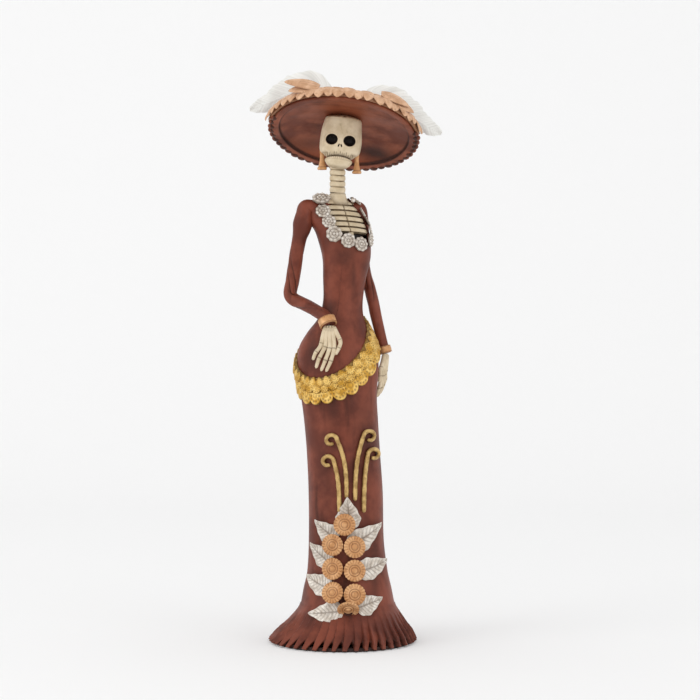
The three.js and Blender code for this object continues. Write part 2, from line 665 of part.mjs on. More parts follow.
// A point of the belt: down is measured from its top edge along the dress, out from the dress.
function beltPoint(angle, down, out) {
  const here = dressPoint(beltHeight(angle), angle);
  const run = dressPoint(beltHeight(angle + 0.05), angle + 0.05);
  run.sub(dressPoint(beltHeight(angle - 0.05), angle - 0.05)).normalize();
  const across = dressNormal(here.z, angle).cross(run).normalize();
  const there = here.addScaledVector(across, -down);
  const s = sectionAt(DRESS, there.z);
  const local = there.clone().sub(vector(s.x, s.y, there.z));
  local.applyAxisAngle(vector(0, 0, 1), -radians(s.turn));
  return dressPoint(there.z, atan2(local.x / s.a, -local.y / s.b), out);
}

const beltWide = BELT.scales + BELT.petal;
const belt = ring(BELT.petals * 2, 6, (angle, corner) => {
  const lobe = abs(sin((angle * BELT.petals) / 2));
  const petal = (share) => BELT.scales + BELT.petal * share * (0.5 + 0.5 * lobe);
  const [down, out] = [
    [BELT.scales, BELT.thick + GAP],
    [0, BELT.thick * 0.7 + GAP],
    [0, -0.5],
    [petal(1), -0.5],
    [petal(1), BELT.thick * 0.7 + GAP],
    [petal(0.55), BELT.thick + GAP + 1.2 * lobe],
  ][corner];
  return beltPoint(angle, down, out).toArray();
});
add("belt", cut(belt, dressRoom), goldPaint);

const beltRoom = ring(BELT.petals * 2, 5, (angle, corner) => {
  const [down, out] = [
    [BELT.scales, BELT.thick + 1.8],
    [-1, BELT.thick + 1],
    [0, -1],
    [beltWide, -1],
    [beltWide + 1, BELT.thick + 1.8],
  ][corner];
  return beltPoint(angle, down, out).toArray();
});

// ---- Sleeves and bracelets ----
add("right_sleeve", cut(limb(rightArm, rightRadii, 8, 20), dressRoom, wireRoom), brownPaint);
add("left_sleeve", cut(limb(leftArm, leftRadii, 8, 14), dressRoom, wireRoom, beltRoom), brownPaint);

function bracelet(line, radius, rooms) {
  const { end, way } = wristOf(line);
  const inner = radius + GAP + 0.15;
  const outer = inner + BRACELET.thick;
  const half = BRACELET.wide / 2;
  const section = [
    [inner, -half],
    [outer - 0.4, -half],
    [outer, 0],
    [outer - 0.4, half],
    [inner, half],
    [inner, -half],
  ];
  const band = turned(section, 14);
  band.applyQuaternion(new THREE.Quaternion().setFromUnitVectors(vector(0, 0, 1), way));
  const place = end.clone().addScaledVector(way, GAP - half);
  return cut(band.translate(place.x, place.y, place.z), ...rooms);
}
add("right_bracelet", bracelet(rightArm, SLEEVE.rightWrist, [dressRoom]), copperPaint);
add("left_bracelet", bracelet(leftArm, SLEEVE.leftWrist, [dressRoom, beltRoom]), copperPaint);

// ---- Hands: a palm of long bones, four fingers and a thumb, hanging from the wrist ----
// Across, towards the thumb; through, towards the palm; and down.
const FINGERS = [
  [
    [-5, 0, -9],
    [-7, -0.2, -17],
    [-11.4, -0.6, -23.5],
    [-13.6, 0, -29.5],
  ],
  [
    [-2.4, 0, -9],
    [-3.4, -0.6, -18],
    [-8.3, -1.4, -28],
    [-11, -0.8, -36.5],
  ],
  [
    [0.6, 0, -9],
    [0.6, -0.8, -18.5],
    [-3, -1.8, -29.5],
    [-6.8, -1.2, -39],
  ],
  [
    [3.6, 0, -9],
    [4.4, -0.4, -18],
    [2, -1.6, -29],
    [-2.6, -1.2, -39.5],
  ],
  [
    [4, 0, -4],
    [9.6, -0.2, -13.5],
    [8.6, -0.6, -18.5],
    [5.4, -0.8, -25],
  ],
];

function handShape(side, wrist) {
  const wide = max(1, wrist / 6);
  const palm = loft(3, 8, (t, angle, rho) => {
    const half = rho * wide * along([5, 6.4, 7.6, 6.6], t);
    return [side * (half * sin(angle) - t), side * rho * 2.3 * cos(angle), -18 * t];
  });
  const bones = FINGERS.map((row) => row.map(([x, y, z]) => vector(side * x, side * y, z)));
  const digits = bones.map((row) => limb(row, [2, 1.9, 1.7, 1.1], 5, 3));
  return joined(palm, ...digits);
}

// A hand hangs from the end of a wrist: gap from the sleeve, turned about the vertical, then leant.
function hand(line, side, wrist, turn, lean, room) {
  const { end, way } = wristOf(line);
  const shape = handShape(side, wrist).rotateX(radians(lean)).rotateZ(radians(turn));
  const place = end.clone().addScaledVector(way, GAP + 0.2);
  shape.translate(place.x, place.y, place.z);
  return cut(shape, dressRoom, wireRoom, ...room);
}
const sleeveEnd = (line, radius) => {
  const { end, way } = wristOf(line);
  const stretch = [-20, GAP].map((d) => end.clone().addScaledVector(way, d));
  return limb(stretch, [radius * 2, radius * 2], 8, 2);
};
add("right_hand", hand(rightArm, 1, SLEEVE.rightWrist, 0, -6, [sleeveEnd(rightArm, 5), beltRoom]), bonePaint);
add("left_hand", hand(leftArm, -1, SLEEVE.leftWrist, 58, 4, [sleeveEnd(leftArm, 5), beltRoom]), bonePaint);

// ---- Rib cage: five ribs that follow the inside of the bodice, and the tip of the breastbone ----
function ribCage() {
  const pitch = (RIBS.high - RIBS.low) / RIBS.count;
  const ribFace = -SHELL - GAP - 0.5;
  const rows = RIBS.count * 3;
  const slab = warp(new THREE.BoxGeometry(1, 1, 1, 8, 1, rows), (x, y, z) => {
    const row = round((z + 0.5) * rows);
    const height = RIBS.low + pitch * Math.floor(row / 3) + [0, 0.9, pitch - 0.9][row % 3];
    const back = ribFace - RIBS.thick;
    const front = ribFace - (row % 3 ? 0 : RIBS.groove);
    return dressPoint(height, radians(x * 2 * RIBS.reach), y < 0 ? front : back).toArray();
  });
  const tip = new THREE.SphereGeometry(1, 8, 6).scale(2.6, 1.1, 3.6);
  const place = dressPoint(RIBS.low - 1, frontAngle(9, RIBS.low) - radians(25), ribFace + 0.1 - RIBS.thick / 2);
  tip.rotateZ(radians(25)).translate(place.x, place.y, place.z);
  return cut(joined(slab, tip), collarRoom, wireRoom);
}
add("rib_cage", ribCage(), bonePaint);

// ---- Rosettes round the neckline, each as wide as its place allows ----
function rosettePlace(index) {
  const turn = radians(ROSETTE.spread * ((2 * index) / (ROSETTE.count - 1) - 1));
  const z = min(DRESS_TOP - 0.6, NECKLINE.z - NECKLINE.halfHeight * cos(turn));
  const x = NECKLINE.halfWidth * sin(turn);
  return onDress(z, asin(max(-1, min(1, x / sectionAt(DRESS, z).a))), 0.2);
}
const rosettePlaces = Array.from({ length: ROSETTE.count }, (_, i) => rosettePlace(i));
const middles = rosettePlaces.map((frame) => vector(0, 0, 0).setFromMatrixPosition(frame));
const rosettePitch = min(...middles.slice(1).map((middle, i) => middle.distanceTo(middles[i])));
const rosetteRadius = (rosettePitch - ROSETTE.between) / 2;

function rosette(frame) {
  const disc = turned(
    [
      [0, -3],
      [rosetteRadius * 0.8, -3],
      [rosetteRadius, 0.6],
      [rosetteRadius * 0.85, ROSETTE.thick],
      [0, ROSETTE.thick * 1.1],
    ],
    10,
  );
  return disc.applyMatrix4(frame);
}
rosettePlaces.forEach((frame, i) => {
  const name = "rosette_" + String(i + 1).padStart(2, "0");
  add(name, cut(rosette(frame), dressRoom, collarRoom), silverPaint);
});

// ---- Flowers: copper discs on stalks, in two columns up the front of the skirt ----
const flowerPitch = 2 * FLOWER.radius + FLOWER_GAP.between;
const flowerColumn = FLOWER.radius + FLOWER_GAP.besides;
const flowerPlaces = [2, 1, 0].flatMap((row) => [
  { x: FLOWER.x - flowerColumn, z: FLOWER.low + row * flowerPitch + 0.8 },
  { x: FLOWER.x + flowerColumn, z: FLOWER.low + row * flowerPitch - 0.8 },
]);
flowerPlaces.unshift({ x: FLOWER.x + 0.9, z: FLOWER.low + 2 * flowerPitch + 1.95 * FLOWER.radius });
flowerPlaces.push({ x: FLOWER.x + 4, z: FLOWER.low - 1.5 * FLOWER.radius, low: 1 });

function flower({ x, z, low = 0 }, grow) {
  const { thick, stalk } = FLOWER;
  const stand = FLOWER.stand - low * 3;
  const r = FLOWER.radius + grow;
  const s = sectionAt(DRESS, z);
  const shape = turned(
    [
      [0, -4],
      [stalk + grow, -4],
      [stalk + grow, stand - thick - 1 - grow],
      [r - 1, stand - thick - grow],
      [r, stand - thick / 2],
      [r - 1, stand + grow],
      [r * 0.34, stand + 0.8 + grow],
      [0, stand + 0.9 + grow],
    ],
    12,
  );
  const frame = onDress(z, asin((x - s.x) / (s.a + stand)), 0);
  return shape.rotateX(low * 0.4).applyMatrix4(frame);
}
const flowerRooms = flowerPlaces.map((place) => flower(place, GAP));
flowerPlaces.forEach((place, i) => {
  const rooms = place.low ? [hemRoom, ...flowerRooms.slice(0, i)] : [];
  add("flower_" + (i + 1), cut(flower(place, 0), dressRoom, ...rooms), copperPaint);
});

// ---- Leaves: silver leaves that fan out from under the flowers, their tips lifting off the skirt ----
const LEAF_PLACES = [
  { tip: [4.9, 126.8], root: [5.5, 101], wide: 1.25 },
  { tip: [-24, 105.4], root: [-9, 91.4], wide: 1 },
  { tip: [33.3, 102.8], root: [9.9, 87.7], wide: 1 },
  { tip: [-27.3, 86.3], root: [-14, 72.5], wide: 1 },
  { tip: [37.7, 71.2], root: [18.7, 65], wide: 1 },
  { tip: [-30.4, 58.7], root: [-15.3, 51], wide: 1 },
  { tip: [32.7, 41], root: [17.5, 34.7], wide: 0.9 },
  { tip: [-29.2, 28.4], root: [-5, 29.6], wide: 0.9 },
];

function leaf({ tip, root, wide }, grow) {
  const lift = LEAF.thick / 2 + GAP;
  const s = sectionAt(DRESS, root[1]);
  const e = sectionAt(DRESS, tip[1]);
  const from = asin(max(-1, min(1, (root[0] - s.x) / (s.a + lift))));
  const to = asin(max(-1, min(1, (tip[0] - e.x) / (e.a + LEAF.lift))));
  const girth = s.a + lift;
  const way = new THREE.Vector2((to - from) * girth, tip[1] - root[1]);
  const length = way.length();
  way.normalize();
  const shape = new THREE.SphereGeometry(1, 8, 6).rotateZ(PI / 2);
  return warp(shape, (x, y, z) => {
    const run = (0.5 - x / 2) * length - grow * x;
    const side = y * ((LEAF.width * wide) / 2 + grow) * (1 + 0.15 * x);
    const out = z * (LEAF.thick / 2 + grow) + lift + ((LEAF.lift - lift) * run * run) / (length * length);
    const turn = from + (way.x * run + way.y * side) / girth;
    return dressPoint(root[1] + way.y * run - way.x * side, turn, out).toArray();
  });
}
const leafRooms = LEAF_PLACES.map((place) => leaf(place, GAP));
LEAF_PLACES.forEach((place, i) => {
  const under = [dressRoom, hemRoom, ...flowerRooms, ...leafRooms.slice(0, i)];
  add("leaf_" + (i + 1), cut(leaf(place, 0), ...under), silverPaint);
});

// ---- Tendrils: four gold stems that rise from the leaves and curl over outwards ----
const SCROLLS = [
  { foot: [-2.7, 113.5], curl: [-12, 156], side: -1 },
  { foot: [3, 125.6], curl: [-9.4, 174], side: -1 },
  { foot: [9.9, 123], curl: [21.2, 177], side: 1 },
  { foot: [16.9, 112.9], curl: [24.8, 161.5], side: 1 },
];

function scroll({ foot, curl, side }) {
  const rise = curl[1] - foot[1];
  const start = curl[0] - side * SCROLL.radius;
  const stem = [0, 0.25, 0.5, 0.78].map((t) => [foot[0] + (start - foot[0]) * t * t, foot[1] + rise * t]);
  const turns = [10, 60, 105, 150, 200, 255, 310].map((degrees, i) => {
    const r = SCROLL.radius * (1 - 0.09 * max(0, i - 2));
    return [curl[0] - side * r * cos(radians(degrees)), curl[1] + r * sin(radians(degrees))];
  });
  const line = [...stem, ...turns].map(([x, z]) => dressPoint(z, frontAngle(x, z), SCROLL.wire + GAP));
  const r = SCROLL.wire;
  return limb(line, [r * 0.6, r, r, r * 0.9, r * 0.8, r * 0.8], 5, 22);
}
SCROLLS.forEach((place, i) => {
  add("tendril_" + (i + 1), cut(scroll(place), ...leafRooms, ...flowerRooms), goldPaint);
});

export default figure;
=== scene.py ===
"""A papier-mache catrina: a slim skeleton lady with a long pleated dress, a belt of gilt petals, a garlanded hat
and two plumes. Sizes are in millimetres until a mesh is made; she faces -Y and stands on z = 0."""

import bmesh
import bpy
import numpy as np
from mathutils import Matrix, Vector


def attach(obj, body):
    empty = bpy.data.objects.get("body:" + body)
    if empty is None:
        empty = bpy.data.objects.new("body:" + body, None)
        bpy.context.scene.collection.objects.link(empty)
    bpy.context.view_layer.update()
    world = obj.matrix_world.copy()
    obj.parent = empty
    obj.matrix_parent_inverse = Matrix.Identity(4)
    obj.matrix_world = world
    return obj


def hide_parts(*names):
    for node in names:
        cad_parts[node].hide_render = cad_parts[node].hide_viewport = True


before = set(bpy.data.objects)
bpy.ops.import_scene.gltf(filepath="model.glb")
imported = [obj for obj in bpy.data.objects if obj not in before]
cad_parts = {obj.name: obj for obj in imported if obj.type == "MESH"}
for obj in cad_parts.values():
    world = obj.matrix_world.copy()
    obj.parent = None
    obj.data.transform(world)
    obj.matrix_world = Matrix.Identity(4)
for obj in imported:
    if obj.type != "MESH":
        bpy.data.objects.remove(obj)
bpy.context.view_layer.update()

# ---- The camera ----
# A long lens at the height of the hips, level with the figure, so that the dish of the hat is seen from below.
lens = bpy.data.cameras.new("camera")
lens.lens = 95.7
lens.sensor_width = 36
camera = bpy.data.objects.new("camera", lens)
camera.location = (0.006, -1.6, 0.262)
camera.rotation_euler = (Vector((0.006, 0, 0.2503)) - camera.location).to_track_quat("-Z", "Y").to_euler()
bpy.context.scene.collection.objects.link(camera)
bpy.context.scene.camera = camera


# ---- The studio ----
# A sheet of matt white paper that runs from the table up the wall in one curve, in light from a wide soft box
# overhead, one at each side and the white room around.
def capped(grid):
    """The rows of a grid between two more, which hold the middle of the first row and of the last one."""
    ends = [row.mean(axis=-2, keepdims=True) + 0 * row for row in (grid[..., :1, :, :], grid[..., -1:, :, :])]
    return np.concatenate([ends[0], grid, ends[1]], axis=-3)


def skin(name, patches, paint, closed=(False, True), crease=50):
    """A mesh over grids of points. A patch is (points, guide): points is an array (..., rows, columns, 3) in
    millimetres, and guide holds three numbers a point for the paint: across, along and how deep a hollow is.
    closed tells whether the last row or column is joined to the first. A face looks along (next column) x
    (next row). Tubes, closed round but not along, are capped. Points that fall together are welded, and edges
    sharper than crease degrees stay sharp."""
    places, guides, faces, start = [], [], [], 0
    for points, guide in patches:
        points = np.asarray(points, float)
        guide = np.broadcast_to(np.asarray(guide, float), points.shape)
        if closed == (False, True):
            points, guide = capped(points), capped(guide)
        rows, columns = points.shape[-3:-1]
        i = np.arange(rows - (not closed[0]))[:, None]
        j = np.arange(columns - (not closed[1]))[None]
        corners = [(i + a) % rows * columns + (j + b) % columns for a, b in ((0, 0), (0, 1), (1, 1), (1, 0))]
        quads = np.stack(corners, -1).reshape(1, -1, 4)
        copies = points.size // (rows * columns * 3)
        faces.append((quads + np.arange(copies)[:, None, None] * rows * columns + start).reshape(-1, 4))
        places.append(points.reshape(-1, 3))
        guides.append(guide.reshape(-1, 3))
        start += len(places[-1])
    places, guides, faces = np.concatenate(places) / 1000, np.concatenate(guides), np.concatenate(faces)
    mesh = bpy.data.meshes.new(name)
    mesh.vertices.add(len(places))
    mesh.vertices.foreach_set("co", places.ravel())
    mesh.loops.add(faces.size)
    mesh.loops.foreach_set("vertex_index", faces.ravel())
    mesh.polygons.add(len(faces))
    mesh.polygons.foreach_set("loop_start", np.arange(len(faces)) * 4)
    mesh.update(calc_edges=True)
    mesh.attributes.new("guide", "FLOAT_VECTOR", "POINT").data.foreach_set("vector", guides.ravel())
    form = bmesh.new()
    form.from_mesh(mesh)
    bmesh.ops.remove_doubles(form, verts=form.verts, dist=2e-6)
    form.to_mesh(mesh)
    form.free()
    mesh.shade_smooth()
    mesh.set_sharp_from_angle(angle=np.radians(crease))
    mesh.materials.append(paint)
    piece = bpy.data.objects.new(name, mesh)
    bpy.context.scene.collection.objects.link(piece)
    return piece


def colour(code):
    """Linear light of an sRGB hex colour: c / 12.92 up to 0.04045, and ((c + 0.055) / 1.055) ^ 2.4 above it."""
    c = np.array([int(code[k : k + 2], 16) for k in (1, 3, 5)]) / 255
    return (*np.where(c <= 0.04045, c / 12.92, ((c + 0.055) / 1.055) ** 2.4), 1.0)


def add_node(tree, kind, inputs=None, **settings):
    """A shader node of that kind, with its own settings, and for each input a value or the output that it is linked
    to. A node given for an input stands for its first output."""
    node = tree.nodes.new("ShaderNode" + kind)
    for key, value in settings.items():
        setattr(node, key, value)
    for key, value in (inputs or {}).items():
        if isinstance(value, bpy.types.Node):
            tree.links.new(value.outputs[0], node.inputs[key])
        elif isinstance(value, bpy.types.NodeSocket):
            tree.links.new(value, node.inputs[key])
        else:
            node.inputs[key].default_value = value
    return node


def new_material(name):
    material = bpy.data.materials.new(name)
    material.use_nodes = True
    material.node_tree.nodes.clear()
    return material, material.node_tree


def mix(tree, share, first, second):
    """A colour that goes from the first to the second as the share goes from 0 to 1."""
    return add_node(tree, "Mix", {0: share, 6: first, 7: second}, data_type="RGBA").outputs[2]


def principled(tree, surface):
    """Ends a material in a principled shader with these inputs."""
    add_node(tree, "OutputMaterial", {"Surface": add_node(tree, "BsdfPrincipled", surface)})


# Matt white paper: bright and without gloss.
white_paper, tree = new_material("white_paper")
grain = add_node(tree, "TexNoise", {"Scale": 900.0, "Detail": 2.0})
tooth = add_node(tree, "Bump", {"Height": grain, "Strength": 0.05, "Distance": 0.0002})
sheet = {"Base Color": colour("#f6f6f6"), "Roughness": 0.95, "Specular IOR Level": 0.1, "Normal": tooth}
principled(tree, sheet)

turn = np.radians(np.linspace(0, 90, 25))
profile = [(-2600, 0), (-1200, 0), (0, 0), (700, 0), (1200, 0)]
profile += [(1200 + 900 * s, 900 * (1 - c)) for s, c in zip(np.sin(turn[1:]), np.cos(turn[1:]))] + [(2100, 3600)]
profile = np.array(profile)
across = np.linspace(3200, -3200, 9)
paper = np.stack(np.broadcast_arrays(across, profile[:, :1], profile[:, 1:]), -1)
skin("paper_sweep", [(paper, 0)], white_paper, closed=(False, False))

for name, place, aim, size, power in (
    ("overhead_box", (-0.1, -0.5, 2.3), (0, 0, 0.2), 1.8, 1),
    ("left_box", (-2.2, -1.3, 1.2), (0, 0, 0.25), 1.5, 13.5),
    ("right_box", (2.1, -1.9, 0.9), (0, 0, 0.25), 1.5, 8),
):
    lamp = bpy.data.lights.new(name, "AREA")
    lamp.size = size
    lamp.energy = power
    light = bpy.data.objects.new(name, lamp)
    light.location = place
    light.rotation_euler = (Vector(aim) - Vector(place)).to_track_quat("-Z", "Y").to_euler()
    bpy.context.scene.collection.objects.link(light)
room = bpy.data.worlds.new("white_room")
room.use_nodes = True
room.node_tree.nodes["Background"].inputs["Color"].default_value = colour("#ffffff")
room.node_tree.nodes["Background"].inputs["Strength"].default_value = 0.92
bpy.context.scene.world = room
bpy.context.scene.view_settings.view_transform = "Standard"


# ---- Base plate, rod, arm wire and neck peg ----
# The hidden skeleton of the figure: a turned wooden plate with a boss, a dowel rod that carries the collar, a steel
# wire through both arms, and the peg on which the head turns. They keep their shapes and get their materials here.
def wood(name, light, dark, rough):
    """Turned softwood: rings 1.2 mm apart and fibres drawn out 40 times along z mix the light and the dark tone."""
    material, tree = new_material(name)
    place = add_node(tree, "TexCoord").outputs["Object"]
    rings = {"Vector": place, "Scale": 130.0, "Distortion": 3.0, "Detail": 3.0}
    ring = add_node(tree, "TexWave", rings, wave_type="RINGS", rings_direction="Z")
    long = add_node(tree, "Mapping", {"Vector": place, "Scale": (2000, 2000, 50)})
    fibre = add_node(tree, "TexNoise", {"Vector": long, "Scale": 1.0, "Detail": 3.0})
    mixed = add_node(tree, "Math", {0: ring.outputs[1], 1: fibre}, operation="MULTIPLY")
    tone = mix(tree, mixed, colour(light), colour(dark))
    relief = add_node(tree, "Bump", {"Height": fibre, "Strength": 0.5, "Distance": 0.0002})
    surface = {"Base Color": tone, "Roughness": rough, "Normal": relief}
    principled(tree, surface)
    return material


# Turned softwood, dark brown where the plate shows under the hem, and bare where it is hidden.
dark_softwood = wood("dark_softwood", "#3a211a", "#221310", 0.7)
bare_softwood = wood("bare_softwood", "#b08a5c", "#8d6538", 0.75)
# Drawn galvanised wire: grey metal with fine lines along it.
drawn_wire, tree = new_material("drawn_steel_wire")
place = add_node(tree, "TexCoord").outputs["Object"]
long = add_node(tree, "Mapping", {"Vector": place, "Scale": (5000, 5000, 300)})
line = add_node(tree, "TexNoise", {"Vector": long, "Scale": 1.0})
rough = add_node(tree, "MapRange", {"Value": line, "To Min": 0.3, "To Max": 0.5})
steel = {"Base Color": colour("#8e8f90"), "Metallic": 1.0, "Roughness": rough}
principled(tree, steel)
for node, material in (
    ("base_plate", dark_softwood),
    ("support_rod", bare_softwood),
    ("neck_dowel", bare_softwood),
    ("arm_wire", drawn_wire),
):
    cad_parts[node].data.materials.clear()
    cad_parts[node].data.materials.append(material)

# ---- The skirt ----
# A hollow shell of papier-mache, laid up on a form, sanded, and brushed downwards with red-brown acrylic. A thin
# dark wash was wiped over it, and stays in long streaks.
# Height, half width, half depth, centre x, and the turn in degrees by which the chest looks to her left.
DRESS = np.array(
    [
        (3.4, 44.5, 44, 3, 0),
        (18, 44.5, 44, 4, 0),
        (26, 43, 42, 4.2, 0),
        (32, 40.8, 39.5, 4, 0),
        (46, 38, 36, 3.9, 0),
        (60, 34.8, 32.5, 3.9, 0),
        (87, 32.3, 30, 3, 0),
        (128, 31.8, 29.5, 2.4, 0),
        (162, 31.4, 29, 0.4, 0),
        (190, 31.8, 29, -1.7, 0),
        (212, 32.8, 28.5, -3.6, 0),
        (235, 35, 27.5, -4.2, 3),
        (252, 33.8, 24.5, -4.4, 8),
        (265, 27.5, 20, -3.8, 14),
        (278, 20, 15.5, -1.5, 20),
        (292, 17.8, 13, 0, 25),
        (312, 19.2, 14.5, 1.3, 25),
        (330, 21.3, 18, 3, 25),
        (346, 23.5, 18.5, 1, 25),
        (353, 24.5, 17.5, -1, 25),
        (359, 26, 15.5, -4, 25),
        (366, 25.5, 13.5, -6.5, 25),
        (373, 23, 11, -8.5, 25),
        (378, 20, 8.5, -9, 25),
        (380.5, 15, 5.5, -9, 25),
    ]
)
WALL = 3
BELT_TOP, BELT_RISE_X, BELT_RISE_Y, SEAM_DROP = 262, 0.5, 1, 13


def clamp(values):
    return np.clip(values, 0, 1)


def circle(count):
    """Angles spaced evenly over a full turn."""
    return np.linspace(0, 2 * np.pi, count, endpoint=False)


def bell(values, middle, wide):
    """A bell curve of height 1 about its middle, down to 1 / e at the distance wide."""
    return np.exp(-(((values - middle) / wide) ** 2))


def hollows(deep):
    """The guide of a piece that says only how deep a hollow each point lies in."""
    return np.stack([0 * deep, 0 * deep, deep], -1)


def smooth(table, at):
    """The rows of a table, whose first column grows, on a smooth line at some values of that column. Between two
    rows it is their straight line plus t (1 - t) times the slopes that the rows beside them ask for."""
    at = np.asarray(at, float)
    i = np.clip(np.searchsorted(table[:, 0], at) - 1, 0, len(table) - 2)
    p, q = table[i], table[i + 1]
    before, after = table[np.maximum(i - 1, 0)], table[np.minimum(i + 2, len(table) - 1)]
    step = (q[..., 0] - p[..., 0])[..., None]
    t = clamp((at - p[..., 0])[..., None] / step)
    leave = (q - before) / (q[..., :1] - before[..., :1]) * step - (q - p)
    arrive = (after - p) / (after[..., :1] - p[..., :1]) * step - (q - p)
    return p + (q - p) * t + t * (1 - t) * ((1 - t) * leave - t * arrive)


def dress(z, angle, out=0.0):
    """Points of the dress: an ellipse grown by out at each height, turned about z and moved by its centre. The
    angle is 0 at the front of the ellipse and grows towards +x."""
    z, angle, out = np.broadcast_arrays(z, angle, out)
    s = smooth(DRESS, z)
    x, y = (s[..., 1] + out) * np.sin(angle), -(s[..., 2] + out) * np.cos(angle)
    turn = np.radians(s[..., 4])
    return np.stack([s[..., 3] + x * np.cos(turn) - y * np.sin(turn), x * np.sin(turn) + y * np.cos(turn), z], -1)


def unit(v):
    return v / np.linalg.norm(v, axis=-1, keepdims=True)


def dress_normal(z, angle):
    """The way out of the dress: the direction round it crossed with the direction up it."""
    round_it = dress(z, angle + 0.02) - dress(z, angle - 0.02)
    return unit(np.cross(round_it, dress(z + 0.5, angle) - dress(z - 0.5, angle)))


def belt_height(angle):
    """The height at each angle at which the dress meets the belt's slanting top edge."""
    z = np.full(np.shape(angle), 1.0 * BELT_TOP)
    for _ in range(40):
        p = dress(z, angle)
        z = z + 0.4 * (BELT_TOP + BELT_RISE_X * p[..., 0] + BELT_RISE_Y * p[..., 1] - z)
    return z


def wobble(points, size, height, seed):
    """Hand-made unevenness: three crossing sine waves of about that size in mm, of that height."""
    rng = np.random.default_rng(seed)
    waves = unit(rng.normal(size=(3, 3))) * (2 * np.pi / size)
    return height * np.sin(points @ waves.T + rng.uniform(0, 6, 3)).sum(-1) / 3


def brushed_paint(
    name, light, dark, wash, patch, stroke, rough=0.7, metal=0.0, washing=(0.5, 0.72), relief=0.12, shine=0.5
):
    """Hand-brushed acrylic. Noise of about patch mm mixes the light and the dark tone. Noise drawn out to stroke mm
    lets the wash in where it passes the two washing levels. Hollows of the guide fill with wash: partly the umber
    held in the grooves, partly painted shade in hollows, on insides and under other parts. Those deeper than 1
    turn nearly black, painted shade in deep holes. The same strokes stand up by relief mm, and a grain of 0.5 mm
    shows the paper."""
    material, tree = new_material(name)
    place = add_node(tree, "TexCoord").outputs["Object"]
    cloud = {"Vector": place, "Scale": 1000 / patch, "Detail": 4.0, "Roughness": 0.6}
    cloud = add_node(tree, "TexNoise", cloud)
    share = {"Value": cloud, "From Min": 0.36, "From Max": 0.64}
    share = add_node(tree, "MapRange", share, interpolation_type="SMOOTHSTEP")
    tone = mix(tree, share, colour(light), colour(dark))
    drawn = add_node(tree, "Mapping", {"Vector": place, "Scale": [1000 / s for s in stroke]})
    streak = add_node(tree, "TexNoise", {"Vector": drawn, "Scale": 1.0, "Detail": 5.0})
    wiped = {"Value": streak, "From Min": washing[0], "From Max": washing[1], "To Max": 0.75}
    wiped = add_node(tree, "MapRange", wiped, interpolation_type="SMOOTHSTEP")
    guide = add_node(tree, "Attribute", attribute_name="guide")
    hollow = add_node(tree, "SeparateXYZ", {0: guide.outputs["Vector"]})
    grain = {"Vector": place, "Scale": 2000.0, "Detail": 3.0, "Roughness": 0.7}
    grain = add_node(tree, "TexNoise", grain)
    patchy = {"Value": grain, "From Min": 0.3, "From Max": 0.7, "To Min": 0.65, "To Max": 1.2}
    patchy = add_node(tree, "MapRange", patchy)
    filled = {0: hollow.outputs[2], 1: patchy}
    filled = add_node(tree, "Math", filled, operation="MULTIPLY", use_clamp=True)
    most = {0: wiped, 1: filled}
    most = add_node(tree, "Math", most, operation="MAXIMUM", use_clamp=True)
    tone = mix(tree, most, tone, colour(wash))
    # Hollows deeper than 1 turn nearly black: painted shade in the deepest holes.
    pit = add_node(tree, "MapRange", {"Value": hollow.outputs[2], "From Min": 1.1, "From Max": 1.7})
    tone = mix(tree, pit, tone, colour("#140b07"))
    fine = [2500 / s for s in stroke]
    bristle = add_node(tree, "Mapping", {"Vector": place, "Scale": fine})
    bristle = add_node(tree, "TexNoise", {"Vector": bristle, "Scale": 1.0, "Detail": 4.0})
    sum_up = {0: grain, 1: 0.35, 2: bristle}
    sum_up = add_node(tree, "Math", sum_up, operation="MULTIPLY_ADD")
    bump = {"Height": sum_up, "Strength": 1.0, "Distance": relief / 1000}
    bump = add_node(tree, "Bump", bump)
    dull = {"Value": streak, "From Min": 0.3, "From Max": 0.7, "To Min": rough - 0.1, "To Max": rough + 0.1}
    dull = add_node(tree, "MapRange", dull)
    metallic = {"Value": most, "To Min": metal, "To Max": 0.0}
    metallic = add_node(tree, "MapRange", metallic)
    surface = {"Base Color": tone, "Roughness": dull, "Normal": bump}
    surface |= {"Metallic": metallic if metal else 0.0, "Specular IOR Level": shine}
    principled(tree, surface)
    return material


# Red-brown acrylic brushed downwards: satin, with lighter and darker areas and long dark streaks.
red_acrylic = brushed_paint(
    "red_acrylic", "#824331", "#602d20", "#2b1813", 30, (11, 11, 70), rough=0.5, washing=(0.49, 0.8), shine=0.22
)


def fix(piece, body, slot, *nodes):
    """The piece rides on a body and stands for some CAD nodes. The slot is not used."""
    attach(piece, body)
    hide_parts(*nodes)


def painted_shade(points, shade_spots):
    """A guide with painted shade: dark wash in patches on the front, each given by the x and z of its middle, its half
    sizes and its strength.
    """
    deep = 0
    for x, z, wide, high, strength in shade_spots:
        far = ((points[..., 0] - x) / wide) ** 2 + ((points[..., 2] - z) / high) ** 2
        deep = np.maximum(deep, strength * np.exp(-far) * (points[..., 1] < 0))
    return hollows(deep)


def shell_of(outer, wall):
    """A closed wall: the outer rows, then points moved in by wall towards the middle of each row, downwards."""
    middle = outer.mean(axis=1, keepdims=True)
    inward = (middle - outer) * np.array([1, 1, 0])
    inner = outer + unit(inward + 1e-9) * wall
    return np.concatenate([outer, inner[::-4]])


angle = circle(240)[None]
seam = belt_height(angle) - SEAM_DROP
up = np.linspace(0, 1, 150)[:, None]
z = DRESS[0, 0] + 0.1 + (seam - 0.4 - DRESS[0, 0]) * up
skirt = dress(z, angle)
swell = wobble(skirt, 70, 0.35, 3)
skirt = dress(z, angle, swell)
